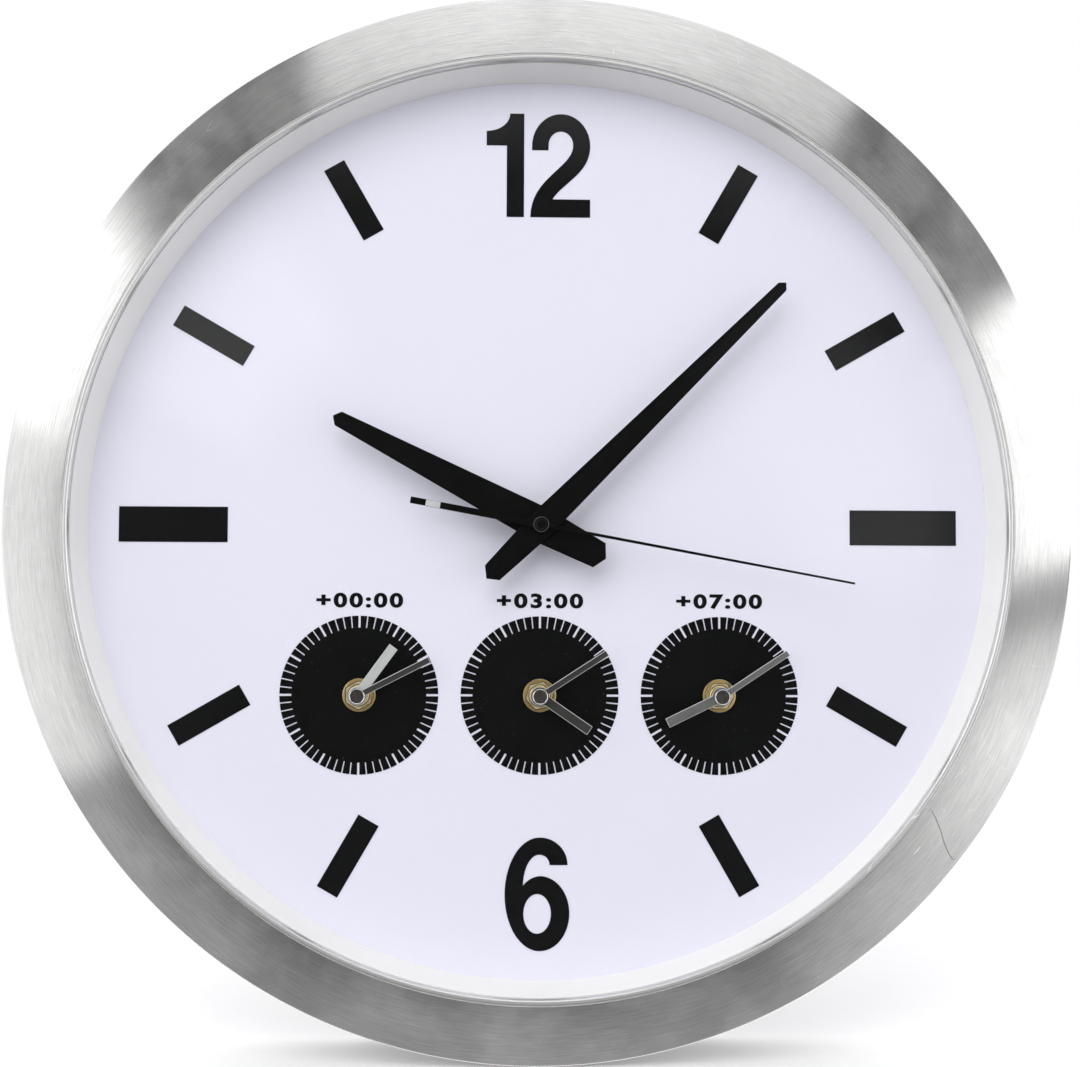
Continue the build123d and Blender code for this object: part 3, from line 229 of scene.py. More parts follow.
class Effects:
    """Node groups that several finishes share."""

    SLOW = 0.06  # broad lines in one fine line
    DUST = (0.06, 0.16)  # a speck's hard and soft radius
    HAIR = (0.0006, 0.0022)  # a scratch's hard and soft half-width

    def __init__(self) -> None:
        """Builds each group once."""
        self.spun = self._spun_lines()
        self.drawn = self._drawn_lines()
        self.mottle = self._mottle()
        self.specks = self._specks()
        self.scuffs = self._scuffs()

    @staticmethod
    def _group(name: str, inputs: dict[str, float],
               outputs: Sequence[str]) -> tuple[ShaderTree, dict, bpy.types.Node]:
        """Starts a group with a place input, number inputs and number outputs.

        Args:
            name: The group's name.
            inputs: First values of its numbers by name.
            outputs: Names of its results.

        Returns:
            The group's tree, its input sockets and its output node.
        """
        tree = bpy.data.node_groups.new(name, "ShaderNodeTree")
        tree.interface.new_socket("Place", in_out="INPUT", socket_type="NodeSocketVector")
        for label, value in inputs.items():
            made = tree.interface.new_socket(label, in_out="INPUT", socket_type="NodeSocketFloat")
            made.default_value = value
        for label in outputs:
            tree.interface.new_socket(label, in_out="OUTPUT", socket_type="NodeSocketFloat")
        build = ShaderTree(tree)
        return build, build.node("NodeGroupInput").outputs, build.node("NodeGroupOutput")

    def _spun_lines(self) -> bpy.types.NodeTree:
        """Lines that run round the clock's axis, fine and broad.

        Returns:
            The group's tree.
        """
        build, given, result = self._group(
            "spun_lines", {"Lines": 2600.0, "Turns": 9.0}, ["Fine", "Broad"])
        x, y, z = build.split(given["Place"])
        across = build.combine(x, 0.0, z)
        radius = build.node("ShaderNodeVectorMath", {0: across}, operation="LENGTH").outputs["Value"]
        turn_x, turn_z = (build.times(build.calc("DIVIDE", part, radius), given["Turns"])
                          for part in (x, z))
        line, side = build.times(radius, given["Lines"]), build.times(y, given["Lines"])
        fine = build.noise(build.combine(line, side, turn_x), 1.0, 4.0, 0.7, turn_z)
        slow, slow_side = build.times(line, self.SLOW), build.times(side, self.SLOW)
        broad = build.noise(build.combine(slow, slow_side, turn_x), 1.0, 3.0, 0.6, turn_z)
        build.feed(result, Fine=fine, Broad=broad)
        return build.tree

    def _drawn_lines(self) -> bpy.types.NodeTree:
        """Lines that run along the place's first axis, fine and broad.

        Returns:
            The group's tree.
        """
        build, given, result = self._group(
            "drawn_lines", {"Lines": 4000.0, "Run": 60.0}, ["Fine", "Broad"])
        x, y, z = build.split(given["Place"])
        place = build.combine(build.times(x, given["Run"]), build.times(y, given["Lines"]),
                              build.times(z, given["Lines"]))
        build.feed(result, Fine=build.noise(place, 1.0, 3.0, 0.7),
                   Broad=build.noise(place, 0.12, 2.0, 0.5))
        return build.tree

    def _mottle(self) -> bpy.types.NodeTree:
        """Soft uneven patches and a finer grain.

        Returns:
            The group's tree.
        """
        build, given, result = self._group("mottle", {"Scale": 40.0}, ["Patches", "Grain"])
        finer = build.times(given["Scale"], 40.0)
        build.feed(result, Patches=build.noise(given["Place"], given["Scale"], 3.0, 0.55),
                   Grain=build.noise(given["Place"], finer, 2.0, 0.6))
        return build.tree

    def _specks(self) -> bpy.types.NodeTree:
        """Scattered small dust specks.

        Returns:
            The group's tree.
        """
        build, given, result = self._group("specks", {"Scale": 900.0, "Amount": 0.08}, ["Mask"])
        inputs = {"Vector": given["Place"], "Scale": given["Scale"]}
        cells = build.node("ShaderNodeTexVoronoi", inputs, feature="F1").outputs
        near = build.remap(cells["Distance"], *self.DUST, 1.0, 0.0)
        pick = build.node("ShaderNodeSeparateColor", {0: cells["Color"]}).outputs[0]
        kept = build.calc("LESS_THAN", pick, given["Amount"])
        build.feed(result, Mask=build.times(near, kept))
        return build.tree

    def _scuffs(self) -> bpy.types.NodeTree:
        """Short hairline scratches in all directions.

        Returns:
            The group's tree.
        """
        build, given, result = self._group("scuffs", {"Scale": 60.0, "Amount": 0.5}, ["Mask"])
        wave = build.noise(given["Place"], given["Scale"], 1.0, 0.4)
        off = build.calc("ABSOLUTE", build.calc("SUBTRACT", wave, 0.5))
        hair = build.remap(off, *self.HAIR, 1.0, 0.0)
        patch = build.noise(given["Place"], build.times(given["Scale"], 2.3), 1.0, 0.5)
        kept = build.calc("GREATER_THAN", patch, build.calc("SUBTRACT", 1.0, given["Amount"]))
        build.feed(result, Mask=build.times(hair, kept))
        return build.tree


SPREAD = (0.3, 0.7)  # where the noise of a pattern mostly lies
CLOUD_SCALE = 42.0
CLOUD_SPREAD = (0.42, 0.62)
SCUFF_WEIGHT = 0.6
BUMP_STRENGTH = 0.6
COAT_ROUGH = 0.15
QUARTER = 0.25
GLASS_ROUGH = 0.012


@dataclass(frozen=True)
class Finish:
    """A surface finish with uneven colour, roughness and fine relief.

    Attributes:
        name: Name of the material.
        dark: Colour where the surface is darkest.
        light: Colour where it is lightest.
        rough_low: Roughness of the smoothest parts.
        rough_high: Roughness of the roughest parts.
        metal: 1 for bare metal, 0 for paint, ink or plastic.
        grain: How the surface was worked.
        scale: Patches or lines in one metre.
        relief: Depth of the fine relief in millimetres.
        stretch: How far gloss spreads across the lines.
        specks: Share of places that hold a dust speck.
        scuffs: Share of the surface that holds hairline scratches.
        mark: Colour of specks and scratches.
        coat: Weight of a clear coat.
        shine: Strength of the plain gloss of ink, paint or plastic.
        patchy: Share of the broad pattern in the colour.
        turns: Breaks of spun lines, per radian.
        haze: How far cloudy patches dull the metal.
    """

    name: str
    dark: Triple
    light: Triple
    rough_low: float
    rough_high: float
    metal: float = 0.0
    grain: Grain = Grain.PLAIN
    scale: float = 40.0
    relief: float = 0.01
    stretch: float = 0.0
    specks: float = 0.0
    scuffs: float = 0.0
    mark: Triple = (0.6, 0.6, 0.6)
    coat: float = 0.0
    shine: float = 0.5
    patchy: float = 0.45
    turns: float = 9.0
    haze: float = 0.0

    def material(self, effects: Effects) -> bpy.types.Material:
        """Builds the finish.

        Args:
            effects: Shared node groups.

        Returns:
            The material.
        """
        made = bpy.data.materials.new(self.name)
        build = ShaderTree.emptied(made)
        place = build.node("ShaderNodeTexCoord").outputs["Object"]

        def shared(group: bpy.types.NodeTree, spot: object = place, **values: float) -> dict:
            """Places a shared group and returns its results."""
            inputs = {"Place": spot, **values}
            return build.node("ShaderNodeGroup", inputs, node_tree=group).outputs

        if self.grain is Grain.SPUN:
            fine, broad = shared(effects.spun, Lines=self.scale, Turns=self.turns)
        elif self.grain is Grain.DRAWN:
            drawn = build.node("ShaderNodeUVMap").outputs[0]
            fine, broad = shared(effects.drawn, drawn, Lines=self.scale)
        else:
            broad, fine = shared(effects.mottle, Scale=self.scale)
        share = build.calc("ADD", build.times(fine, 1.0 - self.patchy), build.times(broad, self.patchy))
        share = build.remap(share, *SPREAD)
        colour = build.blend(share, self.dark, self.light)
        rough = build.remap(share, 0.0, 1.0, self.rough_high, self.rough_low)
        if self.specks:
            colour = build.blend(shared(effects.specks, Amount=self.specks)[0], colour, self.mark)
        if self.scuffs:
            hair = build.times(shared(effects.scuffs, Amount=self.scuffs)[0], SCUFF_WEIGHT)
            colour = build.blend(hair, colour, self.mark)
        metal = self.metal
        if self.haze:
            cloud = shared(effects.mottle, Scale=CLOUD_SCALE)["Patches"]
            metal = build.remap(cloud, *CLOUD_SPREAD, self.metal, self.metal - self.haze)
        inputs = {"Base Color": colour, "Roughness": rough, "Metallic": metal,
                  "Coat Weight": self.coat, "Coat Roughness": COAT_ROUGH,
                  "Specular IOR Level": self.shine, "Anisotropic": self.stretch}
        if self.relief:
            bump = {"Height": fine, "Distance": self.relief * MM, "Strength": BUMP_STRENGTH}
            inputs["Normal"] = build.node("ShaderNodeBump", bump).outputs[0]
        shader = build.node("ShaderNodeBsdfPrincipled", inputs)
        if self.stretch:
            way = {"axis": "Y", "direction_type": "RADIAL"}
            if self.grain is Grain.DRAWN:
                way = {"direction_type": "UV_MAP"}
            shader.inputs["Anisotropic Rotation"].default_value = QUARTER
            build.feed(shader, Tangent=build.node("ShaderNodeTangent", **way).outputs[0])
        build.node("ShaderNodeOutputMaterial", {0: shader.outputs[0]})
        return made


@dataclass(frozen=True)
class ClearGlass:
    """Clear flat glass.

    Attributes:
        name: Name of the material.
        tint: Colour of the glass.
        index: How strongly it bends light.
    """

    name: str = "clear_glass"
    tint: Triple = (0.985, 0.995, 0.99)
    index: float = 1.3

    def material(self, effects: Effects) -> bpy.types.Material:
        """Builds the glass.

        Args:
            effects: Shared node groups.

        Returns:
            The material.
        """
        made = bpy.data.materials.new(self.name)
        build = ShaderTree.emptied(made)
        place = build.node("ShaderNodeTexCoord").outputs["Object"]
        group = build.node("ShaderNodeGroup", {"Place": place}, node_tree=effects.mottle)
        rough = build.remap(group.outputs["Patches"], *SPREAD, 0.0, GLASS_ROUGH)
        shader = build.node("ShaderNodeBsdfPrincipled", {
            "Base Color": (*self.tint, 1.0), "Roughness": rough, "IOR": self.index,
            "Transmission Weight": 1.0})
        build.node("ShaderNodeOutputMaterial", {0: shader.outputs[0]})
        return made


def polar(radius: float, angle: float) -> Point:
    """Point at a radius and an angle in radians."""
    return radius * math.cos(angle), radius * math.sin(angle)


def circle(radius: float, steps: int = SMALL_STEPS) -> list[Point]:
    """Points of a circle round the centre."""
    return [polar(radius, FULL_TURN * step / steps) for step in range(steps)]


def turned(points: Sequence[Point], clock_angle: float) -> list[Point]:
    """Turns points whose first axis runs along a hand to a clock angle.

    Args:
        points: Pairs of length along the hand and distance to its left.
        clock_angle: Degrees clockwise from twelve.

    Returns:
        The points in face coordinates.
    """
    turn = math.radians(clock_angle)
    return [(u * math.sin(turn) - v * math.cos(turn), u * math.cos(turn) + v * math.sin(turn))
            for u, v in points]


def raised(corners: Sequence[Point], level: float, reach: float = 0.0) -> list[Point]:
    """Corners of a profile, radius and height, lifted by a level and moved out by a reach."""
    return [(reach + radius, level + height) for radius, height in corners]


def eased(profile: Sequence[Triple], steps: int = 5) -> list[Point]:
    """Rounds the corners of a closed profile.

    Args:
        profile: Radius, height and corner radius of each corner.
        steps: Steps of each rounding.

    Returns:
        The rounded profile.
    """
    made: list[Point] = []
    count = len(profile)
    for index, (x, y, size) in enumerate(profile):
        if not size:
            made.append((x, y))
            continue
        here = Vector((x, y))
        before = (Vector(profile[index - 1][:2]) - here).normalized()
        after = (Vector(profile[(index + 1) % count][:2]) - here).normalized()
        half = before.angle(after) / 2
        reach = size / math.tan(half)
        start, end = here + before * reach, here + after * reach
        centre = here + (before + after).normalized() * (size / math.sin(half))
        first, last = start - centre, end - centre
        for step in range(steps + 1):
            share = step / steps
            arm = (first * (1 - share) + last * share).normalized() * size
            made.append(tuple(centre + arm))
    return made


def height_range(node: str) -> Point:
    """Heights of a CAD node's back and front off the wall, in millimetres."""
    low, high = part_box(node)
    return WALL - high[1] / MM, WALL - low[1] / MM


class Workshop:
    """Makes meshes from outlines and profiles, and gives them their finish and body.

    Face coordinates are right, up and height off the wall, in millimetres.
    """

    WELD = 0.0005
    CAP_SHARE = 0.72  # a figure's height as a share of the font size
    LETTER_SPACE = 1.22
    PRINT = 0.04
    CURVE_STEPS = 8
    SHARP_CURVE = 20.0
    TAPER = 0.15  # a scratch's width at its ends, as a share
    SLOPE = (0.3, 0.95)  # how far the normal of a sloping face turns to the front or back
    SIDE_LINES = 0.3

    def __init__(self, materials: dict[str, bpy.types.Material]) -> None:
        """Keeps the finished materials by name."""
        self.materials = materials

    @staticmethod
    def facing(place: Point = CENTRE) -> Matrix:
        """Matrix from face coordinates round a place to the row frame."""
        turn = Matrix(((1, 0, 0, place[0]), (0, 0, -1, WALL), (0, 1, 0, place[1]), (0, 0, 0, 1)))
        return Matrix.Scale(MM, 4) @ turn

    @staticmethod
    def lying(place: Point, height: float) -> Matrix:
        """Matrix for a round piece that lies along X at a place and a height off the wall."""
        turn = Matrix(((0, 0, 1, place[0]), (1, 0, 0, WALL - height), (0, 1, 0, place[1]), (0, 0, 0, 1)))
        return Matrix.Scale(MM, 4) @ turn

    def solid(self, name: str, shape: bmesh.types.BMesh, matrix: Matrix, finish: str,
              sharp: float = 32.0) -> bpy.types.Object:
        """Turns a shape into an object in the row frame with smooth shading.

        Args:
            name: The piece's name.
            shape: The shape in its own coordinates.
            matrix: From those to the row frame.
            finish: Name of its material.
            sharp: Edges at a larger angle in degrees stay sharp.

        Returns:
            The new object.
        """
        bmesh.ops.transform(shape, matrix=matrix, verts=shape.verts)
        bmesh.ops.recalc_face_normals(shape, faces=shape.faces)
        mesh = bpy.data.meshes.new(name)
        shape.to_mesh(mesh)
        shape.free()
        for face in mesh.polygons:
            face.use_smooth = True
        mesh.set_sharp_from_angle(angle=math.radians(sharp))
        mesh.materials.append(self.materials[finish])
        made = bpy.data.objects.new(name, mesh)
        bpy.context.scene.collection.objects.link(made)
        return made

    @staticmethod
    def skin(shape: bmesh.types.BMesh, rings: Sequence[Sequence[bmesh.types.BMVert]],
             closed: bool) -> None:
        """Joins rings of points with faces.

        Args:
            shape: Shape that holds the points.
            rings: Points of each ring, or one point for a tip.
            closed: Whether the last ring joins the first one.
        """
        count = max(len(ring) for ring in rings)
        pairs = list(zip(rings, rings[1:]))
        if closed:
            pairs.append((rings[-1], rings[0]))
        for low, high in pairs:
            for step in range(count):
                after = (step + 1) % count
                corners = [low[step % len(low)], low[after % len(low)],
                           high[after % len(high)], high[step % len(high)]]
                corners = list(dict.fromkeys(corners))
                if len(corners) > 2:
                    shape.faces.new(corners)

    def lathe(self, name: str, profile: Sequence[Point], finish: str, segments: int,
              matrix: Matrix | None = None, closed: bool = True) -> bpy.types.Object:
        """Turns a profile round an axis.

        Args:
            name: The piece's name.
            profile: Pairs of radius and height.
            finish: Name of its material.
            segments: Steps round the axis.
            matrix: Where the axis lies, or None for the clock's own.
            closed: Whether the last point joins the first one.

        Returns:
            The new object.
        """
        shape = bmesh.new()
        rings = [[shape.verts.new((x, y, height)) for x, y in circle(radius, segments if radius else 1)]
                 for radius, height in profile]
        self.skin(shape, rings, closed)
        return self.solid(name, shape, matrix or self.facing(), finish)

    def plate(self, name: str, loops: Sequence[Sequence[Point]], low: float, high: float,
              finish: str, edge: float, place: Point = CENTRE) -> bpy.types.Object:
        """Makes a flat stamped piece with sloped edges.

        Args:
            name: The piece's name.
            loops: Outline and holes.
            low: Height of its back off the wall.
            high: Height of its front.
            finish: Name of its material.
            edge: Size of the sloped edge.
            place: Axis that the outline is measured from.

        Returns:
            The new object.
        """
        curve = bpy.data.curves.new(name, "CURVE")
        curve.dimensions = "2D"
        curve.fill_mode = "BOTH"
        curve.extrude = (high - low) / 2 - edge
        curve.bevel_depth = edge
        curve.bevel_resolution = 0
        curve.offset = -edge
        for loop in loops:
            line = curve.splines.new("POLY")
            line.points.add(len(loop) - 1)
            for spot, (x, y) in zip(line.points, loop):
                spot.co = (x, y, 0.0, 1.0)
            line.use_cyclic_u = True
        return self._from_curve(name, curve, (low + high) / 2, finish, place)

    def _from_curve(self, name: str, curve: bpy.types.Curve, height: float, finish: str,
                    place: Point) -> bpy.types.Object:
        """Turns a filled curve into a mesh piece.

        Args:
            name: The piece's name.
            curve: Curve or text in face coordinates.
            height: Height of its middle off the wall.
            finish: Name of its material.
            place: Axis that it is measured from.

        Returns:
            The new object.
        """
        holder = bpy.data.objects.new(name + "_curve", curve)
        bpy.context.scene.collection.objects.link(holder)
        bpy.context.view_layer.update()
        graph = bpy.context.evaluated_depsgraph_get()
        mesh = bpy.data.meshes.new_from_object(holder.evaluated_get(graph))
        shape = bmesh.new()
        shape.from_mesh(mesh)
        bmesh.ops.remove_doubles(shape, verts=shape.verts, dist=self.WELD)
        bpy.data.objects.remove(holder)
        bpy.data.meshes.remove(mesh)
        bpy.data.curves.remove(curve)
        lift = Matrix.Translation((0, 0, height))
        return self.solid(name, shape, self.facing(place) @ lift, finish, self.SHARP_CURVE)

    def text(self, name: str, words: str, cap_height: float, width: float, height: float,
             place: Point, finish: str, weight: float) -> bpy.types.Object:
        """Makes printed numbers or signs.

        Args:
            name: The piece's name.
            words: Numbers or signs.
            cap_height: Height of a figure.
            width: Full width.
            height: Height of the print off the wall.
            place: Middle of the print.
            finish: Name of its material.
            weight: Thickening of the strokes, as a share of the size.

        Returns:
            The new object.
        """
        curve = bpy.data.curves.new(name, "FONT")
        curve.body = words
        curve.size = cap_height / self.CAP_SHARE
        curve.offset = weight * curve.size
        curve.space_character = self.LETTER_SPACE
        curve.align_x = "CENTER"
        curve.align_y = "CENTER"
        curve.extrude = self.PRINT
        curve.resolution_u = self.CURVE_STEPS
        made = self._from_curve(name, curve, height, finish, place)
        spots = [v.co for v in made.data.vertices]
        low = Vector((min(s.x for s in spots), 0, min(s.z for s in spots)))
        high = Vector((max(s.x for s in spots), 0, max(s.z for s in spots)))
        taller = cap_height * MM / (high.z - low.z)
        wider = width * MM / (high.x - low.x)
        middle = (low + high) / 2
        for vert in made.data.vertices:
            vert.co.x = place[0] * MM + (vert.co.x - middle.x) * wider
            vert.co.z = place[1] * MM + (vert.co.z - middle.z) * taller
        return made

    def ribbon(self, name: str, points: Sequence[Triple], width: float,
               finish: str) -> bpy.types.Object:
        """Makes a thin scratch that tapers to both ends.

        Args:
            name: The piece's name.
            points: Right, up and height off the wall of each point.
            width: Its width in the middle.
            finish: Name of its material.

        Returns:
            The new object.
        """
        shape = bmesh.new()
        last = len(points) - 1
        pairs = []
        for index, (x, y, height) in enumerate(points):
            before, after = points[max(index - 1, 0)], points[min(index + 1, last)]
            along = Vector((after[0] - before[0], after[1] - before[1])).normalized()
            half = width * (self.TAPER if index in (0, last) else 0.5)
            pairs.append([shape.verts.new((x - along.y * side, y + along.x * side, height))
                          for side in (half, -half)])
        for (one, two), (three, four) in zip(pairs, pairs[1:]):
            shape.faces.new((one, two, four, three))
        return self.solid(name, shape, self.facing(), finish)

    def slopes(self, piece: bpy.types.Object, finish: str) -> None:
        """Gives a piece's sloping faces a second finish, which paints highlight or shade on those faces.

        Args:
            piece: The piece.
            finish: Name of the second material.
        """
        piece.data.materials.append(self.materials[finish])
        low, high = self.SLOPE
        for face in piece.data.polygons:
            if low < abs(face.normal.y) < high:
                face.material_index = 1

    def middle(self, piece: bpy.types.Object, finish: str, radius: float, height: float,
               place: Point = CENTRE) -> None:
        """Gives the faces within a radius and in front of a height a second finish.

        Args:
            piece: The piece.
            finish: Name of the second material.
            radius: Radius that the faces lie in.
            height: Height off the wall that they lie in front of.
            place: Axis that the radius is measured from.
        """
        piece.data.materials.append(self.materials[finish])
        axis = Vector((place[0], 0, place[1])) * MM
        for face in piece.data.polygons:
            off = face.center - axis
            if face.center.y < (WALL - height) * MM and off.xz.length < radius * MM:
                face.material_index = 1

    def unroll(self, piece: bpy.types.Object, clock_angle: float) -> None:
        """Gives a flat piece a map whose first axis runs along a clock angle.

        Args:
            piece: The piece.
            clock_angle: Degrees clockwise from twelve.
        """
        turn = math.radians(clock_angle)
        along = Vector((math.sin(turn), 0, math.cos(turn)))
        across = Vector((math.cos(turn), 0, -math.sin(turn)))
        layer = piece.data.uv_layers.new(name="lines")
        for loop in piece.data.loops:
            spot = piece.data.vertices[loop.vertex_index].co
            layer.data[loop.index].uv = (spot.dot(along), spot.dot(across) + self.SIDE_LINES * spot.y)

    @staticmethod
    def settle(piece: bpy.types.Object, slot: str, body: str = HOUSING,
               nodes: Sequence[str] = ()) -> None:
        """Puts a piece on its body and reports it.

        Args:
            piece: The piece.
            slot: Material slot of the record; not used.
            body: Body that it moves with.
            nodes: Solids that it stands for.
        """
        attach(piece, body)
        if nodes:
            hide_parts(*nodes)
        LOG.info("%s: %d faces on %s", piece.name, len(piece.data.polygons), body)

    def dress(self, finish: str, *nodes: str) -> None:
        """Gives CAD nodes a finish.

        Args:
            finish: Name of the material.
            *nodes: Names of the nodes.
        """
        for name in nodes:
            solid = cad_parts[name]
            solid.data.materials.clear()
            solid.data.materials.append(self.materials[finish])
            LOG.info("%s: %s", name, finish)


class Piece(ABC):
    """A part of the picture."""

    @abstractmethod
    def build(self, shop: Workshop) -> None:
        """Makes the meshes and puts them on their bodies.

        Args:
            shop: Workshop with the finishes.
        """


@dataclass(frozen=True)
class Mark:
    """Scratch, chip or joint on the rim.

    Attributes:
        name: Its name.
        path: Clock angle and radius of each point along it.
        width: Its width in the middle.
        finish: Name of its material.
    """

    name: str
    path: tuple[Point, ...]
    width: float
    finish: str = "scratch_light"


MARKS = (
    Mark("dark_scratch", ((126.05, 179.5), (126.5, 182.7), (127.3, 187.1), (128.2, 191.3),
                          (128.7, 194.6), (128.94, 197.3), (128.7, 198.4)), 0.28, "scratch_dark"),
    Mark("dark_scratch_start", ((126.0, 179.0), (126.25, 181.0)), 0.5, "scratch_dark"),
    Mark("light_scratch", ((116.83, 185.5), (117.23, 188.7), (117.57, 193.1), (117.56, 196.0),
                           (117.3, 198.3)), 0.36),
    Mark("short_scratch", ((131.4, 184.5), (130.8, 184.8), (130.1, 184.7)), 0.35),
    Mark("small_scratch", ((121.3, 180.6), (120.2, 181.5), (119.4, 181.3)), 0.3),
    Mark("bead_chip", ((128.3, 175.6), (127.8, 176.2), (127.4, 176.7)), 0.8),
    Mark("bead_nick", ((136.7, 176.7), (136.2, 176.1), (135.7, 175.8)), 0.5),
    Mark("bead_joint", ((9.69, 176.8), (9.75, 175.3)), 0.45),
    Mark("bead_touch", ((357.45, 176.8), (357.42, 175.4)), 0.3),
)


@dataclass
class Rim(Piece):
    """Brushed aluminium bezel with its bead, and the marks on it.

    Attributes:
        outer: Outer radius.
        bead: Outer radius of the bead.
        opening: Radius of the opening.
        seat: Radius of the lens seat.
        wall: Thickness of the sheet.
        edge_height: Height of the outer edge off the wall.
        front: Height of the bead off the wall.
        lip: Height of the lens seat off the wall.
        groove: Width of the groove round the bead.
        drop: How far the face starts behind the bead.
        groove_drop: How far the groove lies behind the bead.
        slant: Width of the bead's rounded inner corner.
        bead_reach: How far the bead's finish reaches past it.
        lift: Height of a mark over the metal.
        steps: Steps round the bezel.
    """

    outer: float = 199.9
    bead: float = 176.9
    opening: float = 174.8
    seat: float = 179.2
    wall: float = 1.5
    edge_height: float = 43.4
    front: float = 45.96
    lip: float = 44.2
    groove: float = 0.5
    drop: float = 0.1
    groove_drop: float = 0.22
    slant: float = 0.55
    bead_reach: float = 0.3
    lift: float = 0.02
    steps: int = 512

    def profile(self) -> list[Point]:
        """Rounds the corners of the bezel's section.

        Returns:
            The section.
        """
        foot = self.bead + self.groove
        inside = self.outer - self.wall
        return eased([
            (self.outer, 0.0, 0.3),
            (self.outer, self.edge_height, 1.2),
            (foot, self.front - self.drop, 0.15),
            (foot, self.front - self.groove_drop, 0.05),
            (self.bead, self.front - self.groove_drop, 0.05),
            (self.bead, self.front, 0.5),
            (self.opening + self.slant, self.front, 0.7),
            (self.opening, self.lip, 0.1),
            (self.seat, self.lip, 0.0),
            (inside, self.edge_height - self.wall, 0.5),
            (inside, 0.0, 0.3),
        ])

    def surface(self, radius: float) -> float:
        """Finds the front of the bead or of the sloping face.

        Args:
            radius: Distance from the axis.

        Returns:
            Its height off the wall.
        """
        if radius < self.bead:
            return self.front
        share = (radius - self.bead - self.groove) / (self.outer - self.bead - self.groove)
        return self.front - self.drop + share * (self.edge_height - self.front + self.drop)

    def build(self, shop: Workshop) -> None:
        """Makes the bezel and its marks.

        Args:
            shop: Workshop with the finishes.
        """
        ring = shop.lathe("rim", self.profile(), "brushed_aluminium", self.steps)
        shop.middle(ring, "satin_bead", self.bead + self.bead_reach, self.lip)
        shop.settle(ring, "brushed_aluminium", nodes=["bezel"])
        for mark in MARKS:
            points = [(*turned([(radius, 0.0)], angle)[0], self.surface(radius) + self.lift)
                      for angle, radius in mark.path]
            line = shop.ribbon(mark.name, points, mark.width, mark.finish)
            shop.settle(line, "brushed_aluminium")


@dataclass
class DialFace(Piece):
    """Dial, markers, spacer ring, lens and the numbers under the zone dials.

    Attributes:
        ring: Radius, height and corner radius of the white ring's corners.
        steps: Steps round the ring.
        scratch: Points of the small scratch on the glass.
        scratch_width: Its width in the middle.
        labels: Hours ahead, by zone.
        label_place: Height of the numbers' middle.
        label_size: Height of a figure.
        label_width: Width of the print.
        label_lift: Height of the print's middle over the dial.
        label_weight: Thickening of the strokes.
    """

    ring: tuple[Triple, ...] = (
        (171.9, 26.8, 0.15), (174.6, 42.7, 0.3), (176.8, 42.7, 0.3),
        (176.8, 29.0, 0.3), (178.8, 29.0, 0.2), (178.8, 26.8, 0.2))
    steps: int = 384
    scratch: tuple[Triple, ...] = ((114.0, -79.4, 44.22), (115.0, -81.6, 44.22), (117.2, -83.8, 44.22))
    scratch_width: float = 0.3
    labels: tuple[tuple[str, str], ...] = (("left", "+00:00"), ("middle", "+03:00"), ("right", "+07:00"))
    label_place: float = -28.6
    label_size: float = 5.7
    label_width: float = 33.0
    label_lift: float = 0.06
    label_weight: float = 0.04

    def build(self, shop: Workshop) -> None:
        """Dresses the dial and makes the ring and the numbers.

        Args:
            shop: Workshop with the finishes.
        """
        shop.dress("white_dial_paint", "dial")
        shop.dress("black_ink", "hour_markers")
        shop.dress("zone_ink", "zone_dials")
        shop.dress("clear_glass", "lens_glass")
        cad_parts["lens_glass"].visible_shadow = False
        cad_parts["lens_glass"].visible_diffuse = False
        ring = shop.lathe("spacer", eased(self.ring), "white_ring_plastic", self.steps)
        shop.settle(ring, "white_ring_plastic", nodes=["spacer_ring"])
        for zone, words in self.labels:
            place = (ZONES[zone][0], self.label_place)
            label = shop.text(f"{zone}_hours_ahead", words, self.label_size, self.label_width,
                              DIAL + self.label_lift, place, "black_ink", self.label_weight)
            shop.settle(label, "black_dial_print")
        scratch = shop.ribbon("glass_scratch", self.scratch, self.scratch_width, "scratch_light")
        shop.settle(scratch, "clear_glass")


@dataclass
class PointedHand(Piece):
    """Long black hand of the main dial.

    Attributes:
        node: CAD node that it stands for.
        body: Body that it moves with.
        clock_angle: Degrees clockwise from twelve at rest.
        length: From the axis to the tip.
        tail: From the axis to the tail's end.
        widths: At the axis, the tip's shoulders and the tail's shoulders.
        points: Angles of the two points.
        bore: Radius of the hole.
        edge: Size of the sloped edge.
    """

    node: str
    body: str
    clock_angle: float
    length: float
    tail: float
    widths: Triple
    points: Point
    bore: float
    edge: float = 0.14

    def outline(self) -> list[Point]:
        """Works out the corners along the hand.

        Returns:
            The corners.
        """
        hub, tip, end = self.widths
        tip_run = tip / 2 / math.tan(math.radians(self.points[0] / 2))
        end_run = end / 2 / math.tan(math.radians(self.points[1] / 2))
        half = [(self.length - tip_run, tip / 2), (0.0, hub / 2), (-self.tail + end_run, end / 2)]
        other = [(u, -v) for u, v in reversed(half)]
        return [(self.length, 0.0), *half, (-self.tail, 0.0), *other]

    def build(self, shop: Workshop) -> None:
        """Makes the hand.

        Args:
            shop: Workshop with the finishes.
        """
        low, high = height_range(self.node)
        loops = [turned(self.outline(), self.clock_angle), circle(self.bore)]
        hand = shop.plate(f"{self.node}_blade", loops, low, high, "hand_black", self.edge)
        shop.settle(hand, "main_hand_black", self.body, [self.node])


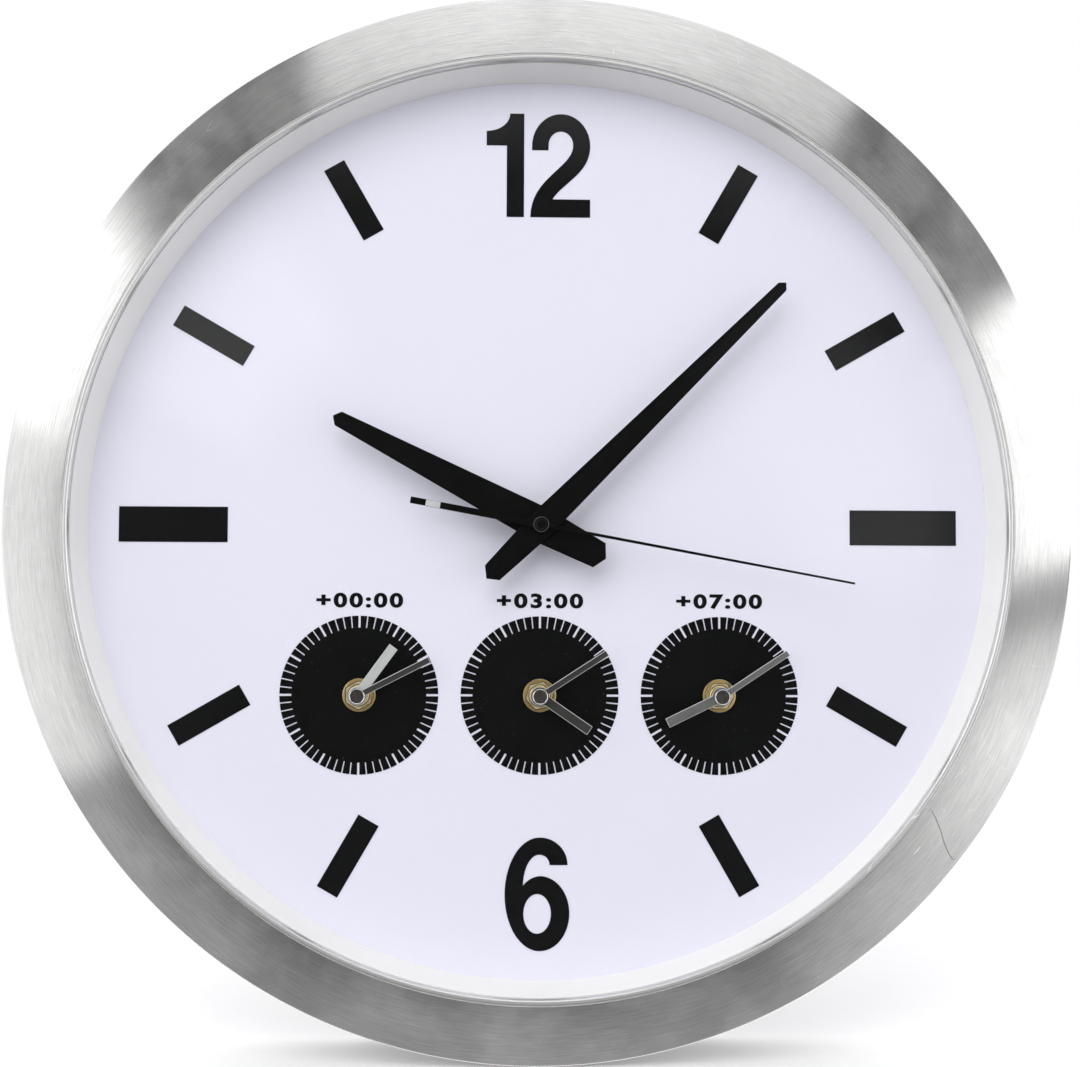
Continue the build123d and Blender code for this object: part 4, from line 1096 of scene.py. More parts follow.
@dataclass
class SecondHand(Piece):
    """Thin second hand with its boss and the pale patch on its tail.

    Attributes:
        clock_angle: Degrees clockwise from twelve at rest.
        length: From the axis to the tip.
        tail: From the axis to the tail's end.
        halves: Half-widths at the tip, the root and the tail.
        height: Height of the blade's back over the dial.
        thick: Thickness of the blade.
        edge: Size of the blade's sloped edge.
        stem: Radii of the boss's bore and stem.
        boss: Radius and height over the blade of the boss's corners.
        patch: Start and end of the pale patch on the tail.
        patch_half: Half of its width.
        patch_depth: How far it reaches into the blade and over it.
        patch_edge: Size of its sloped edge.
    """

    clock_angle: float = 100.4
    length: float = 120.0
    tail: float = 49.8
    halves: Triple = (0.4, 0.6, 1.25)
    height: float = 13.8
    thick: float = 0.4
    edge: float = 0.08
    stem: Point = (0.55, 1.4)
    boss: tuple[Point, ...] = (
        (1.4, -0.02), (2.9, 0.0), (2.9, 0.7), (2.62, 1.0), (1.9, 1.0), (1.8, 0.9), (0.0, 0.9))
    patch: Point = (38.5, 44.0)
    patch_half: float = 1.15
    patch_depth: Point = (0.05, 0.06)
    patch_edge: float = 0.02

    def build(self, shop: Workshop) -> None:
        """Makes the hand, its boss and its patch.

        Args:
            shop: Workshop with the finishes.
        """
        low = DIAL + self.height
        high = low + self.thick
        tip, root, wide = self.halves
        side = [(self.length, tip), (0.0, root), (0.0, wide), (-self.tail, wide)]
        outline = turned([*side, *((u, -v) for u, v in reversed(side))], self.clock_angle)
        hand = shop.plate("second_blade", [outline], low, high, "hand_black", self.edge)
        shop.settle(hand, "main_hand_black", "main_second", ["second_hand"])
        back = height_range("second_hand")[0]
        profile = [*((radius, back) for radius in self.stem), *raised(self.boss, high)]
        cap = shop.lathe("second_boss", profile, "hand_black", SMALL_STEPS, closed=False)
        # The boss's sloping faces get a lighter colour that paints their highlight, besides a real higher
        # gloss.
        shop.slopes(cap, "boss_edge_painted_highlight")
        shop.settle(cap, "main_hand_black", "main_second")
        start, end = self.patch
        half = self.patch_half
        corners = turned([(-start, half), (-end, half), (-end, -half), (-start, -half)], self.clock_angle)
        under, over = self.patch_depth
        patch = shop.plate("second_tail_patch", [corners], high - under, high + over, "pale_patch",
                           self.patch_edge)
        shop.settle(patch, "silver_hand", "main_second")


@dataclass
class ZoneHands(Piece):
    """Strip hands and cap of one zone dial.

    Attributes:
        zone: Name of the zone dial.
        angles: Clock angles of the hour hand and the minute hand at rest.
        finishes: Finish of the hour hand and of the minute hand; their colours are painted highlight or
            painted shade of one silver metal, lighter or darker by how each hand catches the light.
        sizes: Length, width, eye radius and bore radius of each hand.
        edge: Largest size of a strip's sloped edge.
        flat: Least half thickness between the two sloped edges.
        cap_back: Radius and height of the cap's corners over its back.
        cap_front: Radius and height of its corners over its front.
        face: Radius of the cap's sunk face.
        face_depth: How far behind the front the sunk face's finish reaches.
        steps: Steps round an eye and round its bore.
    """

    zone: str
    angles: Point
    finishes: tuple[str, str]
    sizes: tuple[tuple[float, ...], ...] = ((22.8, 3.7, 3.6, 2.56), (30.2, 2.4, 2.7, 1.76))
    edge: float = 0.18
    flat: float = 0.01
    cap_back: tuple[Point, ...] = ((0.0, 0.0), (2.95, 0.0), (3.1, 0.15))
    cap_front: tuple[Point, ...] = (
        (3.1, -0.45), (2.95, -0.15), (2.72, 0.0), (2.58, -0.04), (2.5, -0.22), (0.0, -0.22))
    face: float = 2.5
    face_depth: float = 0.5
    steps: tuple[int, int] = (40, 48)

    def strip(self, shop: Workshop, kind: str, angle: float, finish: str,
              size: Sequence[float]) -> None:
        """Makes one strip hand with a round eye.

        Args:
            shop: Workshop with the finishes.
            kind: Which hand it is.
            angle: Clock angle at rest.
            finish: Name of its material.
            size: Length, width, eye radius and bore radius.
        """
        length, width, eye, bore = size
        node = f"{self.zone}_{kind}_hand"
        low, high = height_range(node)
        start = math.asin(width / 2 / eye)
        sweep = FULL_TURN - 2 * start
        eye_steps, bore_steps = self.steps
        arc = [polar(eye, start + sweep * step / eye_steps) for step in range(eye_steps + 1)]
        outline = [(length, -width / 2), (length, width / 2), *arc]
        loops = [turned(outline, angle), circle(bore, bore_steps)]
        edge = min(self.edge, (high - low) / 2 - self.flat)
        hand = shop.plate(f"{node}_strip", loops, low, high, finish, edge, ZONES[self.zone])
        shop.unroll(hand, angle)
        # Painted highlight: the strip's sloping edges get a lighter colour where they catch the light.
        shop.slopes(hand, "strip_edge_painted_highlight")
        shop.settle(hand, "silver_hand", f"{self.zone}_{kind}", [node])

    def build(self, shop: Workshop) -> None:
        """Makes both hands and the cap.

        Args:
            shop: Workshop with the finishes.
        """
        for kind, angle, finish, size in zip(("hour", "minute"), self.angles, self.finishes, self.sizes):
            self.strip(shop, kind, angle, finish, size)
        place = ZONES[self.zone]
        low, high = height_range(f"{self.zone}_hand_cap")
        profile = raised(self.cap_back, low) + raised(self.cap_front, high)
        cap = shop.lathe(f"{self.zone}_cap", profile, "cap_metal", SMALL_STEPS, shop.facing(place),
                         closed=False)
        shop.middle(cap, "cap_face", self.face, high - self.face_depth, place)
        shop.settle(cap, "cap_metal", f"{self.zone}_minute", [f"{self.zone}_hand_cap"])


@dataclass
class Mounting(Piece):
    """Bushing, washer and nut of one movement.

    Attributes:
        name: Which movement.
        place: Its axis.
        nut_angle: Turn of the nut's flats in degrees, clockwise.
        bore: Radius of the bushing's bore.
        bore_ease: Size of its front chamfer.
        flange: Radius and thickness of the bushing's flange.
        thread: Outer and inner radius of the thread.
        pitch: Distance from thread to thread.
        end: Length of the bare end in front of the thread.
        crown: Radius and height of the end's corners over the front.
        washer: Inner and outer radius of the washer.
        nut_flat: Half the width of the nut across its flats.
        corner_cut: How far the nut's corners are turned down.
        bevel: Size of the nut's sloped edge.
        hole: Radius and height over the front of the corners of the nut's hole.
        steps: Steps round the washer and the nut.
    """

    name: str
    place: Point
    nut_angle: float
    bore: float = 2.59
    bore_ease: float = 0.12
    flange: Point = (5.5, 0.7)
    thread: Point = (3.94, 3.7)
    pitch: float = 0.25
    end: float = 0.35
    crown: tuple[Point, ...] = ((3.75, -0.1), (3.6, 0.0))
    washer: Point = (4.2, 6.3)
    nut_flat: float = 5.0
    corner_cut: float = 0.12
    bevel: float = 0.34
    hole: tuple[Point, ...] = ((4.25, 0.0), (3.98, -0.27))
    steps: int = 96

    def build(self, shop: Workshop) -> None:
        """Makes the threaded bushing, the washer and the nut.

        Args:
            shop: Workshop with the finishes.
        """
        low, high = height_range("bushings")
        wide, thick = self.flange
        crest, root = self.thread
        profile = [(self.bore, low), (wide, low), (wide, low + thick), (crest, low + thick),
                   (crest, DIAL)]
        level = DIAL
        while level < high - self.end:
            profile += [(crest, level), (root, level + self.pitch / 2)]
            level += self.pitch
        profile += raised([*self.crown, (self.bore + self.bore_ease, 0.0),
                           (self.bore, -self.bore_ease)], high)
        matrix = shop.facing(self.place)
        thread = shop.lathe(f"{self.name}_bushing", profile, "turned_brass", ROUND_STEPS, matrix)
        shop.settle(thread, "yellow_brass", nodes=["bushings"])
        low, high = height_range("washers")
        inner, outer = self.washer
        rounded = eased([(inner, low, 0.05), (outer, low, 0.05), (outer, high, 0.3),
                         (inner, high, 0.15)], 4)
        washer = shop.lathe(f"{self.name}_washer", rounded, "turned_brass", self.steps, matrix)
        shop.settle(washer, "yellow_brass", nodes=["washers"])
        self.nut(shop)

    def nut(self, shop: Workshop) -> None:
        """Makes the hexagon nut with its sloped edge and its threaded hole.

        Args:
            shop: Workshop with the finishes.
        """
        low, high = height_range("nuts")
        corner = self.nut_flat / math.cos(math.pi / 6) - self.corner_cut
        shape = bmesh.new()
        rows = []
        for height, inset in ((low, 0.0), (high - self.bevel, 0.0), (high, self.bevel)):
            row = []
            for step in range(self.steps):
                angle = FULL_TURN * step / self.steps
                off = (angle + math.radians(self.nut_angle)) % (math.pi / 3) - math.pi / 6
                reach = min(self.nut_flat / math.cos(off), corner) - inset
                row.append(shape.verts.new((*polar(reach, angle), height)))
            rows.append(row)
        for radius, height in (*raised(self.hole, high), (self.hole[-1][0], low)):
            rows.append([shape.verts.new((x, y, height)) for x, y in circle(radius, self.steps)])
        shop.skin(shape, rows, True)
        made = shop.solid(f"{self.name}_nut", shape, shop.facing(self.place), "nut_brass")
        # Painted shade: the nut's sloping faces get a dark brass colour.
        shop.slopes(made, "nut_edge_painted_shade")
        shop.settle(made, "yellow_brass", nodes=["nuts"])


@dataclass
class Cell(Piece):
    """Round dry cell of one movement.

    Attributes:
        name: Which movement.
        place: Axis of the movement.
        node: CAD node that holds the cell.
        length: Whole length with the nub.
        radius: Outer radius.
        nub: Radius of the nub.
        play: How far each end stays inside the CAD cell.
        jacket: Thickness of the jacket.
        foot: Radius over the can's and height over the left end, of the can's corners there.
        shoulder: Radius over the can's and height over the right end, of its corners there.
        tip: Radius over the nub's and height over the right end, of the nub's corners.
        cover: How far the jacket's ends lie inside the cell's.
        lap: How far jacket and band reach into what they lie on.
        band: Start and end of the band, from the nub's end.
        proud: Thickness of the band over the jacket.
    """

    name: str
    place: Point
    node: str
    length: float = 50.5
    radius: float = 7.23
    nub: float = 2.72
    play: float = 0.02
    jacket: float = 0.35
    foot: tuple[Point, ...] = ((-1.6, 0.0), (-0.5, 0.15), (0.0, 0.8))
    shoulder: tuple[Point, ...] = ((0.0, -1.9), (-0.4, -1.3))
    tip: tuple[Point, ...] = ((0.6, -1.15), (0.0, -0.9), (0.0, -0.25), (-0.3, 0.0))
    cover: Point = (0.5, 1.5)
    lap: float = 0.1
    band: Point = (11.0, 4.4)
    proud: float = 0.015

    def build(self, shop: Workshop) -> None:
        """Makes the metal can, the jacket and its band.

        Args:
            shop: Workshop with the finishes.
        """
        low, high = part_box("main_battery")
        drop = (low[2] + high[2]) / 2 / MM
        height = WALL - (low[1] + high[1]) / 2 / MM
        matrix = shop.lying((self.place[0], self.place[1] + drop), height)
        left, right = -self.length / 2 + self.play, self.length / 2 - self.play
        can = self.radius - self.jacket
        profile = [(0.0, left), *raised(self.foot, left, can), *raised(self.shoulder, right, can),
                   *raised(self.tip, right, self.nub), (0.0, right)]
        metal = shop.lathe(f"{self.name}_cell_can", profile, "contact_nickel", ROUND_STEPS, matrix,
                           closed=False)
        shop.settle(metal, "contact_plate", nodes=[self.node])
        start, end = left + self.cover[0], right - self.cover[1]
        inside = can - self.lap
        cover = eased([(inside, start, 0.05), (self.radius, start, 0.25), (self.radius, end, 0.35),
                       (can - 0.6, end, 0.1), (inside, end - 0.5, 0.05)], 4)
        jacket = shop.lathe(f"{self.name}_cell_jacket", cover, "cell_jacket", ROUND_STEPS, matrix)
        shop.settle(jacket, "cell_jacket")
        inner, outer = self.radius - self.lap, self.radius + self.proud
        first, last = (right - reach for reach in self.band)
        band = [(inner, first), (outer, first), (outer, last), (inner, last)]
        stripe = shop.lathe(f"{self.name}_cell_band", band, "cell_band", ROUND_STEPS, matrix)
        shop.settle(stripe, "cell_jacket")


@dataclass
class KnobMark(Piece):
    """Two raised arrows round one setting knob, on the movement's cover.

    Attributes:
        name: Which movement.
        starts: Angle in degrees at which each arrow starts.
        turn: Degrees that an arrow's line runs round the knob.
        steps: Steps of the line.
        line: Inner and outer radius of the arrows' lines.
        head: Inner and outer radius of their heads.
        tip: Radius of the tips.
        reach: Turn from a head's back to its tip in radians.
        depth: How far the arrows stand out of the cover and reach into it.
        edge: Size of their sloped edges.
    """

    name: str
    starts: tuple[tuple[str, float], ...] = (("first", 20.0), ("second", 200.0))
    turn: float = 90.0
    steps: int = 15
    line: Point = (6.3, 6.9)
    head: Point = (5.5, 7.7)
    tip: float = 6.6
    reach: float = 0.28
    depth: Point = (0.12, 0.05)
    edge: float = 0.02

    def build(self, shop: Workshop) -> None:
        """Makes the two curved arrows beside the knob.

        Args:
            shop: Workshop with the finishes.
        """
        low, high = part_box(f"{self.name}_setting_wheel")
        centre = ((low[0] + high[0]) / 2 / MM, (low[2] + high[2]) / 2 / MM)
        back = height_range("main_cover" if self.name == "main" else "zone_covers")[0]
        for part, begin in self.starts:
            arc = [math.radians(begin + self.turn * step / self.steps)
                   for step in range(self.steps + 1)]
            outer = [polar(self.line[1], angle) for angle in arc]
            inner = [polar(self.line[0], angle) for angle in reversed(arc)]
            head = [polar(self.head[1], arc[-1]), polar(self.tip, arc[-1] + self.reach),
                    polar(self.head[0], arc[-1])]
            arrow = shop.plate(f"{self.name}_{part}_arrow", [outer + head + inner],
                               back - self.depth[0], back + self.depth[1], "knob_plastic",
                               self.edge, centre)
            shop.settle(arrow, "movement_plastic")


class BackOfClock(Piece):
    """Housing, tabs, screws, hanger, and the movements with their gears and cells."""

    def build(self, shop: Workshop) -> None:
        """Dresses the solids behind the dial and makes the cells and the arrow marks.

        Args:
            shop: Workshop with the finishes.
        """
        shop.dress("housing_plastic", "rear_housing")
        shop.dress("zinc_steel", "bezel_tabs", "hanger_plate", "cover_screws", "hanger_screws")
        shop.dress("movement_plastic", "main_case", "main_cover", "zone_covers", "main_bridge",
                   "left_case", "middle_case", "right_case")
        shop.dress("turned_brass", "main_minute_pipe", *(f"{zone}_minute_arbor" for zone in ZONES))
        shop.dress("seal_rubber", "gaskets")
        shop.dress("contact_nickel", "battery_contacts")
        shop.dress("board_green", "main_circuit_board", "zone_motors")
        shop.dress("coil_copper", "main_coil")
        shop.dress("stator_steel", "main_stator")
        shop.dress("gear_nylon", "main_rotor", "main_intermediate_wheel", "main_second_wheel",
                   "main_third_wheel", "main_centre_wheel", "main_hour_wheel",
                   *(f"{zone}_hour_wheel" for zone in ZONES))
        shop.dress("knob_plastic", "main_setting_wheel", *(f"{zone}_setting_wheel" for zone in ZONES))
        for name, place in {"main": CENTRE, **ZONES}.items():
            Cell(name, place, "main_battery" if name == "main" else "zone_batteries").build(shop)
            KnobMark(name).build(shop)


@dataclass(frozen=True)
class Board:
    """Light or dark board that stands round the viewer and shows in the brushed rim.

    Attributes:
        start: Clock angle of its first edge in degrees.
        end: Clock angle of its last edge.
        first: Brightness at the first edge, between 0 and 1.
        last: Brightness at the last edge.
    """

    start: float
    end: float
    first: float
    last: float

    @staticmethod
    def stops(boards: Sequence["Board"]) -> list[Point]:
        """Edges of a ring of boards, as shares of a turn, with their brightness."""
        return [(edge / 360, level) for board in boards
                for edge, level in ((board.start, board.first), (board.end, board.last))]


@dataclass
class Studio(Piece):
    """Camera, light and floor round the clock.

    Attributes:
        lens: Focal length in millimetres.
        sensor: Width of the image in millimetres for that focal length.
        clip: Nearest and farthest distance that the camera sees.
        eye: Place of the camera.
        right: The image's right in the row frame.
        up: The image's top in the row frame.
        back: Away from the clock.
        slide: Sideways shift of the image, as a share of its width.
        strength: Brightness of a white board.
        tone: Colour of the boards' light.
        fill: Share of the boards' light that falls on matt surfaces.
        behind: Brightness behind the clock, as a share of a white board's.
        behind_low: Share of that straight behind it.
        least: Least brightness, as a share of a white board's.
        cloud: Unevenness of the boards, as a share and in itself.
        cloud_scale: How fine the uneven patches are.
        cloud_spread: Where their noise mostly lies.
        core: Degrees off the view within which all is dark, and from which all is seen.
        far: Degrees off the view between which the boards give way to the pale back.
        fade: Degrees off the view between which the pale back darkens.
        glow_start: Degrees off the view between which a glow begins.
        glow_end: Degrees off the view between which it ends.
        key_size: Diameter of the key light.
        key_power: Power of the key light in watts.
        key_place: Place of the key light.
        floor_radius: Radius of the floor in millimetres.
        floor_gap: Gap under the clock in millimetres.
        glows: Faint light close round the camera, which shows in the glass.
        boards: What stands round the viewer, clockwise from twelve.
    """

    lens: float = 54.45
    sensor: float = 36.0
    clip: Point = (0.01, 60.0)
    eye: Triple = (-0.0164, -0.6288, -0.0315)
    right: Triple = (0.999597, -0.028106, 0.00401)
    up: Triple = (-0.005294, -0.045756, 0.998939)
    back: Triple = (-0.027892, -0.998557, -0.045886)
    slide: float = -0.0028
    strength: float = 2.0
    tone: Triple = (0.985, 0.985, 1.0)
    fill: float = 0.84
    behind: float = 0.9
    behind_low: float = 0.3
    least: float = 0.004
    cloud: Point = (0.05, 0.018)
    cloud_scale: float = 5.0
    cloud_spread: Point = (0.35, 0.65)
    core: Point = (14.0, 21.0)
    far: Point = (92.0, 108.0)
    fade: Point = (125.0, 172.0)
    glow_start: Point = (9.0, 12.0)
    glow_end: Point = (14.5, 17.5)
    key_size: float = 1.6
    key_power: float = 13.6
    key_place: Triple = (-0.38, -1.3, 1.0)
    floor_radius: float = 3200.0
    floor_gap: float = 0.1
    glows: tuple[Board, ...] = (
        Board(0.0, 40.0, 0.02, 0.02), Board(52.0, 80.0, 0.27, 0.42), Board(92.0, 298.0, 0.02, 0.02),
        Board(304.0, 326.0, 0.62, 0.62), Board(334.0, 360.0, 0.02, 0.02))
    boards: tuple[Board, ...] = (
        Board(0.0, 0.5, 0.74, 0.74), Board(1.2, 3.0, 0.64, 0.64), Board(3.8, 18.0, 0.74, 0.68),
        Board(24.0, 35.2, 0.60, 0.52), Board(36.6, 49.0, 0.12, 0.15), Board(51.0, 60.0, 0.20, 0.20),
        Board(61.6, 88.6, 1.05, 1.05), Board(90.2, 94.0, 0.22, 0.26),
        Board(98.5, 108.0, 0.60, 0.76), Board(116.0, 122.5, 0.62, 0.50), Board(130.0, 144.0, 0.43, 0.28),
        Board(146.0, 160.0, 0.19, 0.23), Board(185.0, 212.5, 0.24, 0.17), Board(214.5, 243.5, 0.24, 0.27),
        Board(245.5, 285.5, 0.68, 0.70), Board(287.5, 308.0, 1.15, 1.1),
        Board(315.0, 336.3, 0.15, 0.13), Board(338.2, 360.0, 0.60, 0.74))

    def camera(self) -> None:
        """Puts the camera where the photo was taken from."""
        data = bpy.data.cameras.new("photo_camera")
        data.lens = self.lens
        data.sensor_width = self.sensor
        data.shift_x = self.slide
        data.clip_start, data.clip_end = self.clip
        made = bpy.data.objects.new("photo_camera", data)
        columns = Matrix((self.right, self.up, self.back)).transposed()
        made.matrix_world = Matrix.Translation(self.eye) @ columns.to_4x4()
        bpy.context.scene.collection.objects.link(made)
        bpy.context.scene.camera = made

    def surroundings(self) -> None:
        """Soft room light: boards round the viewer, dark behind the camera, pale behind the clock."""
        world = bpy.data.worlds.new("studio")
        bpy.context.scene.world = world
        build = ShaderTree.emptied(world)
        way = build.node("ShaderNodeTexCoord").outputs["Generated"]
        x, y, z = build.split(way)
        off = build.calc("ARCCOSINE", build.times(y, -1.0))

        def across(degrees: Point, low: float = 0.0, high: float = 1.0) -> bpy.types.NodeSocket:
            """Changes from low to high between two angles off the view."""
            return build.remap(off, *(math.radians(d) for d in degrees), low, high, True)

        turn = build.calc("DIVIDE", build.calc("ARCTAN2", x, z), FULL_TURN)
        share = build.calc("FRACT", build.calc("ADD", turn, 1.0))
        ring = build.ramp(share, Board.stops(self.boards))
        cloud = build.noise(way, self.cloud_scale, 3.0, 0.6)
        cloud = build.remap(cloud, *self.cloud_spread, -1.0, 1.0)
        ring = build.times(ring, build.calc("MULTIPLY_ADD", cloud, self.cloud[0], 1.0))
        ring = build.calc("MULTIPLY_ADD", cloud, self.cloud[1], ring)
        far = across(self.far)
        path = build.node("ShaderNodeLightPath").outputs
        fall = build.remap(path["Is Diffuse Ray"], 0.0, 1.0, 1.0, self.fill)
        glow = build.times(build.ramp(share, Board.stops(self.glows)), across(self.glow_start))
        glow = build.times(glow, across(self.glow_end, 1.0, 0.0))
        ring = build.calc("MAXIMUM", build.times(across(self.core), ring), glow)
        front = build.times(build.times(ring, build.calc("SUBTRACT", 1.0, far)), fall)
        back = across(self.fade, self.behind, self.behind_low * self.behind)
        level = build.calc("ADD", front, build.times(far, back))
        strength = build.times(build.calc("MAXIMUM", level, self.least), self.strength)
        lit, seen = (build.node("ShaderNodeBackground", {"Color": (*tone, 1.0), "Strength": amount})
                     for tone, amount in ((self.tone, strength), ((1.0, 1.0, 1.0), 1.0)))
        inputs = {0: path["Is Camera Ray"], 1: lit.outputs[0], 2: seen.outputs[0]}
        both = build.node("ShaderNodeMixShader", inputs)
        build.node("ShaderNodeOutputWorld", {0: both.outputs[0]})

    def lights(self) -> None:
        """Large soft key light above the viewer's left."""
        data = bpy.data.lights.new("soft_key", "AREA")
        data.shape = "DISK"
        data.size = self.key_size
        data.energy = self.key_power
        made = bpy.data.objects.new("soft_key", data)
        made.location = self.key_place
        made.rotation_euler = Vector(made.location).to_track_quat("Z", "Y").to_euler()
        made.visible_glossy = False
        made.visible_transmission = False
        bpy.context.scene.collection.objects.link(made)

    def floor(self, shop: Workshop) -> None:
        """Pale floor under the clock.

        Args:
            shop: Workshop with the finishes.
        """
        low = cad_low[2] / MM - self.floor_gap
        shape = bmesh.new()
        bmesh.ops.create_circle(shape, cap_ends=True, radius=self.floor_radius, segments=96)
        lift = Matrix.Scale(MM, 4) @ Matrix.Translation((0, 0, low))
        floor = shop.solid("floor", shape, lift, "pale_floor")
        floor.visible_glossy = False
        floor.visible_transmission = False
        floor.visible_diffuse = False

    def build(self, shop: Workshop) -> None:
        """Sets up everything round the clock.

        Args:
            shop: Workshop with the finishes.
        """
        self.camera()
        self.surroundings()
        self.lights()
        self.floor(shop)
        bpy.context.scene.view_settings.view_transform = "Standard"


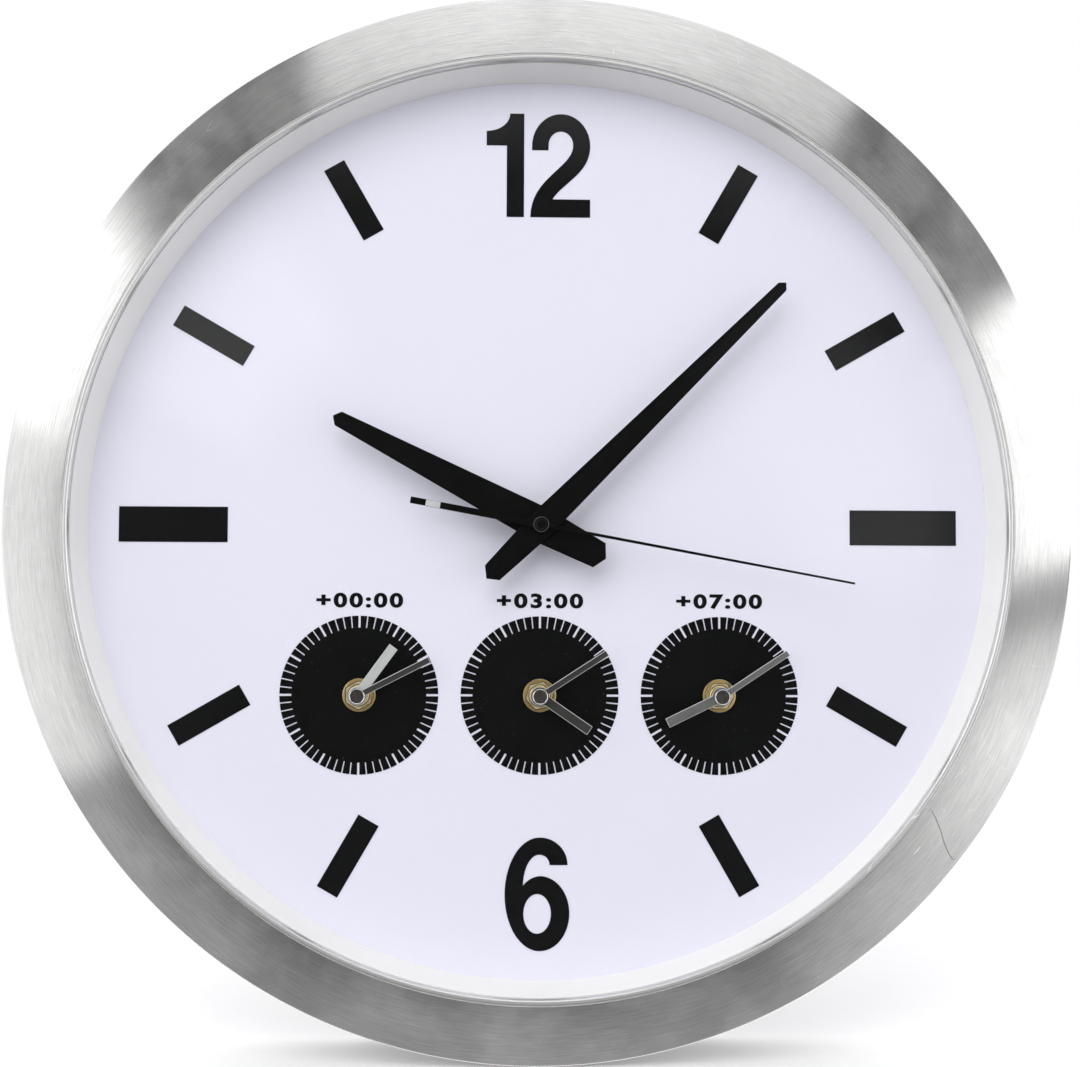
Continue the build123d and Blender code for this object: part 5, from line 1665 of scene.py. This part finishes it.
FINISHES = (
    Finish("brushed_aluminium", (0.50, 0.50, 0.49), (0.69, 0.69, 0.675), 0.14, 0.19, 1.0,
           Grain.SPUN, 3100.0, 0.005, 1.0, scuffs=0.42, mark=(0.86, 0.86, 0.85), patchy=0.15,
           turns=17.0, haze=0.16),
    Finish("satin_bead", (0.70, 0.70, 0.69), (0.80, 0.80, 0.78), 0.36, 0.44, 1.0, scale=160.0,
           relief=0.002, scuffs=0.3, mark=(0.9, 0.9, 0.9)),
    Finish("white_ring_plastic", (0.84, 0.83, 0.81), (0.87, 0.86, 0.84), 0.32, 0.42, scale=25.0,
           relief=0.004),
    Finish("white_dial_paint", (0.775, 0.765, 0.88), (0.80, 0.79, 0.90), 0.5, 0.62, scale=12.0,
           relief=0.003),
    Finish("black_ink", (0.003, 0.003, 0.0034), (0.006, 0.006, 0.0065), 0.5, 0.6, scale=60.0,
           relief=0.002, shine=0.1),
    Finish("zone_ink", (0.0022, 0.0022, 0.0024), (0.004, 0.004, 0.0044), 0.5, 0.6, scale=60.0,
           relief=0.002, specks=0.03, mark=(0.16, 0.16, 0.17), shine=0.1),
    Finish("hand_black", (0.0025, 0.0025, 0.0025), (0.005, 0.005, 0.0054), 0.26, 0.36, scale=120.0,
           relief=0.001, shine=0.12),
    # Rounded edge of the second hand's boss: glossier, which is real, and lighter in colour, which paints
    # its highlight.
    Finish("boss_edge_painted_highlight", (0.03, 0.03, 0.03), (0.05, 0.05, 0.05), 0.2, 0.28, scale=300.0,
           relief=0.002, shine=0.9),
    Finish("scratch_dark", (0.09, 0.085, 0.08), (0.22, 0.21, 0.20), 0.5, 0.7, scale=900.0),
    Finish("scratch_light", (0.74, 0.74, 0.72), (0.90, 0.90, 0.88), 0.4, 0.6, scale=900.0),
    Finish("pale_patch", (0.45, 0.45, 0.46), (0.60, 0.60, 0.61), 0.4, 0.6, scale=400.0),
    # Sloping edges of the zone hands: a lighter colour that paints the highlight the edges catch.
    Finish("strip_edge_painted_highlight", (0.62, 0.62, 0.60), (0.76, 0.76, 0.74), 0.4, 0.5, 0.2, scale=500.0),
    # The three strip finishes are one silver metal painted lighter or darker: painted highlight, painted
    # half light and painted shade, by how each zone hand catches the light.
    Finish("strip_painted_highlight", (0.50, 0.51, 0.50), (0.62, 0.63, 0.62), 0.45, 0.6, 0.3, Grain.DRAWN,
           5000.0, 0.006, 0.4, patchy=0.2),
    Finish("strip_painted_half_light", (0.13, 0.13, 0.128), (0.24, 0.24, 0.235), 0.36, 0.5, 0.5, Grain.DRAWN,
           5000.0, 0.006, 0.5, patchy=0.3),
    Finish("strip_painted_shade", (0.045, 0.043, 0.042), (0.10, 0.097, 0.094), 0.3, 0.45, 0.6, Grain.DRAWN,
           5000.0, 0.006, 0.5, patchy=0.3),
    Finish("cap_metal", (0.60, 0.59, 0.57), (0.78, 0.77, 0.75), 0.12, 0.24, 1.0, scale=300.0,
           relief=0.002),
    Finish("cap_face", (0.035, 0.03, 0.028), (0.10, 0.09, 0.085), 0.35, 0.5, 0.6, scale=500.0,
           relief=0.006),
    Finish("turned_brass", (0.64, 0.45, 0.18), (0.84, 0.63, 0.30), 0.26, 0.32, 1.0, scale=260.0,
           relief=0.0),
    Finish("nut_brass", (0.90, 0.76, 0.47), (0.97, 0.86, 0.60), 0.40, 0.46, 1.0, scale=260.0,
           relief=0.0),
    # Sloped edge of the nuts: a dark brass that paints shade along the hexagon's outline.
    Finish("nut_edge_painted_shade", (0.13, 0.09, 0.035), (0.26, 0.19, 0.08), 0.28, 0.36, 1.0, scale=260.0,
           relief=0.0),
    Finish("zinc_steel", (0.30, 0.31, 0.33), (0.50, 0.51, 0.53), 0.28, 0.44, 1.0, scale=180.0,
           relief=0.008, scuffs=0.4, mark=(0.7, 0.7, 0.7)),
    Finish("housing_plastic", (0.018, 0.018, 0.019), (0.034, 0.034, 0.036), 0.48, 0.66, scale=28.0,
           relief=0.05, scuffs=0.35, mark=(0.10, 0.10, 0.10)),
    Finish("movement_plastic", (0.014, 0.014, 0.015), (0.024, 0.024, 0.026), 0.36, 0.5, scale=45.0,
           relief=0.02),
    Finish("knob_plastic", (0.03, 0.03, 0.032), (0.05, 0.05, 0.052), 0.3, 0.45, scale=200.0),
    Finish("seal_rubber", (0.012, 0.012, 0.012), (0.02, 0.02, 0.02), 0.7, 0.85, scale=90.0),
    Finish("contact_nickel", (0.58, 0.57, 0.54), (0.76, 0.75, 0.72), 0.18, 0.32, 1.0, scale=220.0,
           relief=0.004),
    Finish("board_green", (0.02, 0.13, 0.06), (0.03, 0.20, 0.10), 0.3, 0.42, scale=160.0),
    Finish("coil_copper", (0.42, 0.16, 0.06), (0.62, 0.28, 0.12), 0.26, 0.4, 0.8, scale=240.0),
    Finish("stator_steel", (0.36, 0.36, 0.37), (0.52, 0.52, 0.53), 0.3, 0.45, 1.0, scale=160.0),
    Finish("gear_nylon", (0.70, 0.68, 0.62), (0.80, 0.78, 0.72), 0.3, 0.42, scale=120.0),
    Finish("cell_jacket", (0.02, 0.07, 0.05), (0.03, 0.10, 0.07), 0.22, 0.34, scale=70.0,
           relief=0.004, coat=0.3),
    Finish("cell_band", (0.55, 0.42, 0.14), (0.70, 0.56, 0.22), 0.2, 0.3, 0.6, scale=90.0,
           relief=0.0),
    Finish("pale_floor", (0.86, 0.86, 0.86), (0.88, 0.88, 0.88), 0.7, 0.85, scale=2.0, relief=0.0),
)

PIECES: tuple[Piece, ...] = (
    Rim(),
    DialFace(),
    PointedHand("hour_hand", "main_hour", 297.4, 88.4, 27.6, (13.5, 5.8, 10.3), (105.0, 122.0), 2.56),
    PointedHand("minute_hand", "main_minute", 45.1, 130.9, 28.9, (10.6, 4.2, 7.9), (90.0, 103.0), 1.76),
    SecondHand(),
    # The zone hands' strip finishes paint highlight or shade onto one silver metal.
    ZoneHands("left", (36.0, 63.0), ("strip_painted_highlight", "strip_painted_shade")),
    ZoneHands("middle", (124.5, 57.0), ("strip_painted_shade", "strip_painted_shade")),
    ZoneHands("right", (244.0, 56.5), ("strip_painted_half_light", "strip_painted_half_light")),
    Mounting("main", CENTRE, 30.0),
    Mounting("left", ZONES["left"], 30.0),
    Mounting("middle", ZONES["middle"], 46.0),
    Mounting("right", ZONES["right"], 60.0),
    BackOfClock(),
    Studio(),
)


def main() -> None:
    """Builds the clock's looks in order."""
    logging.basicConfig(level=logging.INFO, format="%(name)s %(message)s")
    effects = Effects()
    shop = Workshop({finish.name: finish.material(effects) for finish in (*FINISHES, ClearGlass())})
    for piece in PIECES:
        piece.build(shop)


if __name__ == "__main__":
    main()
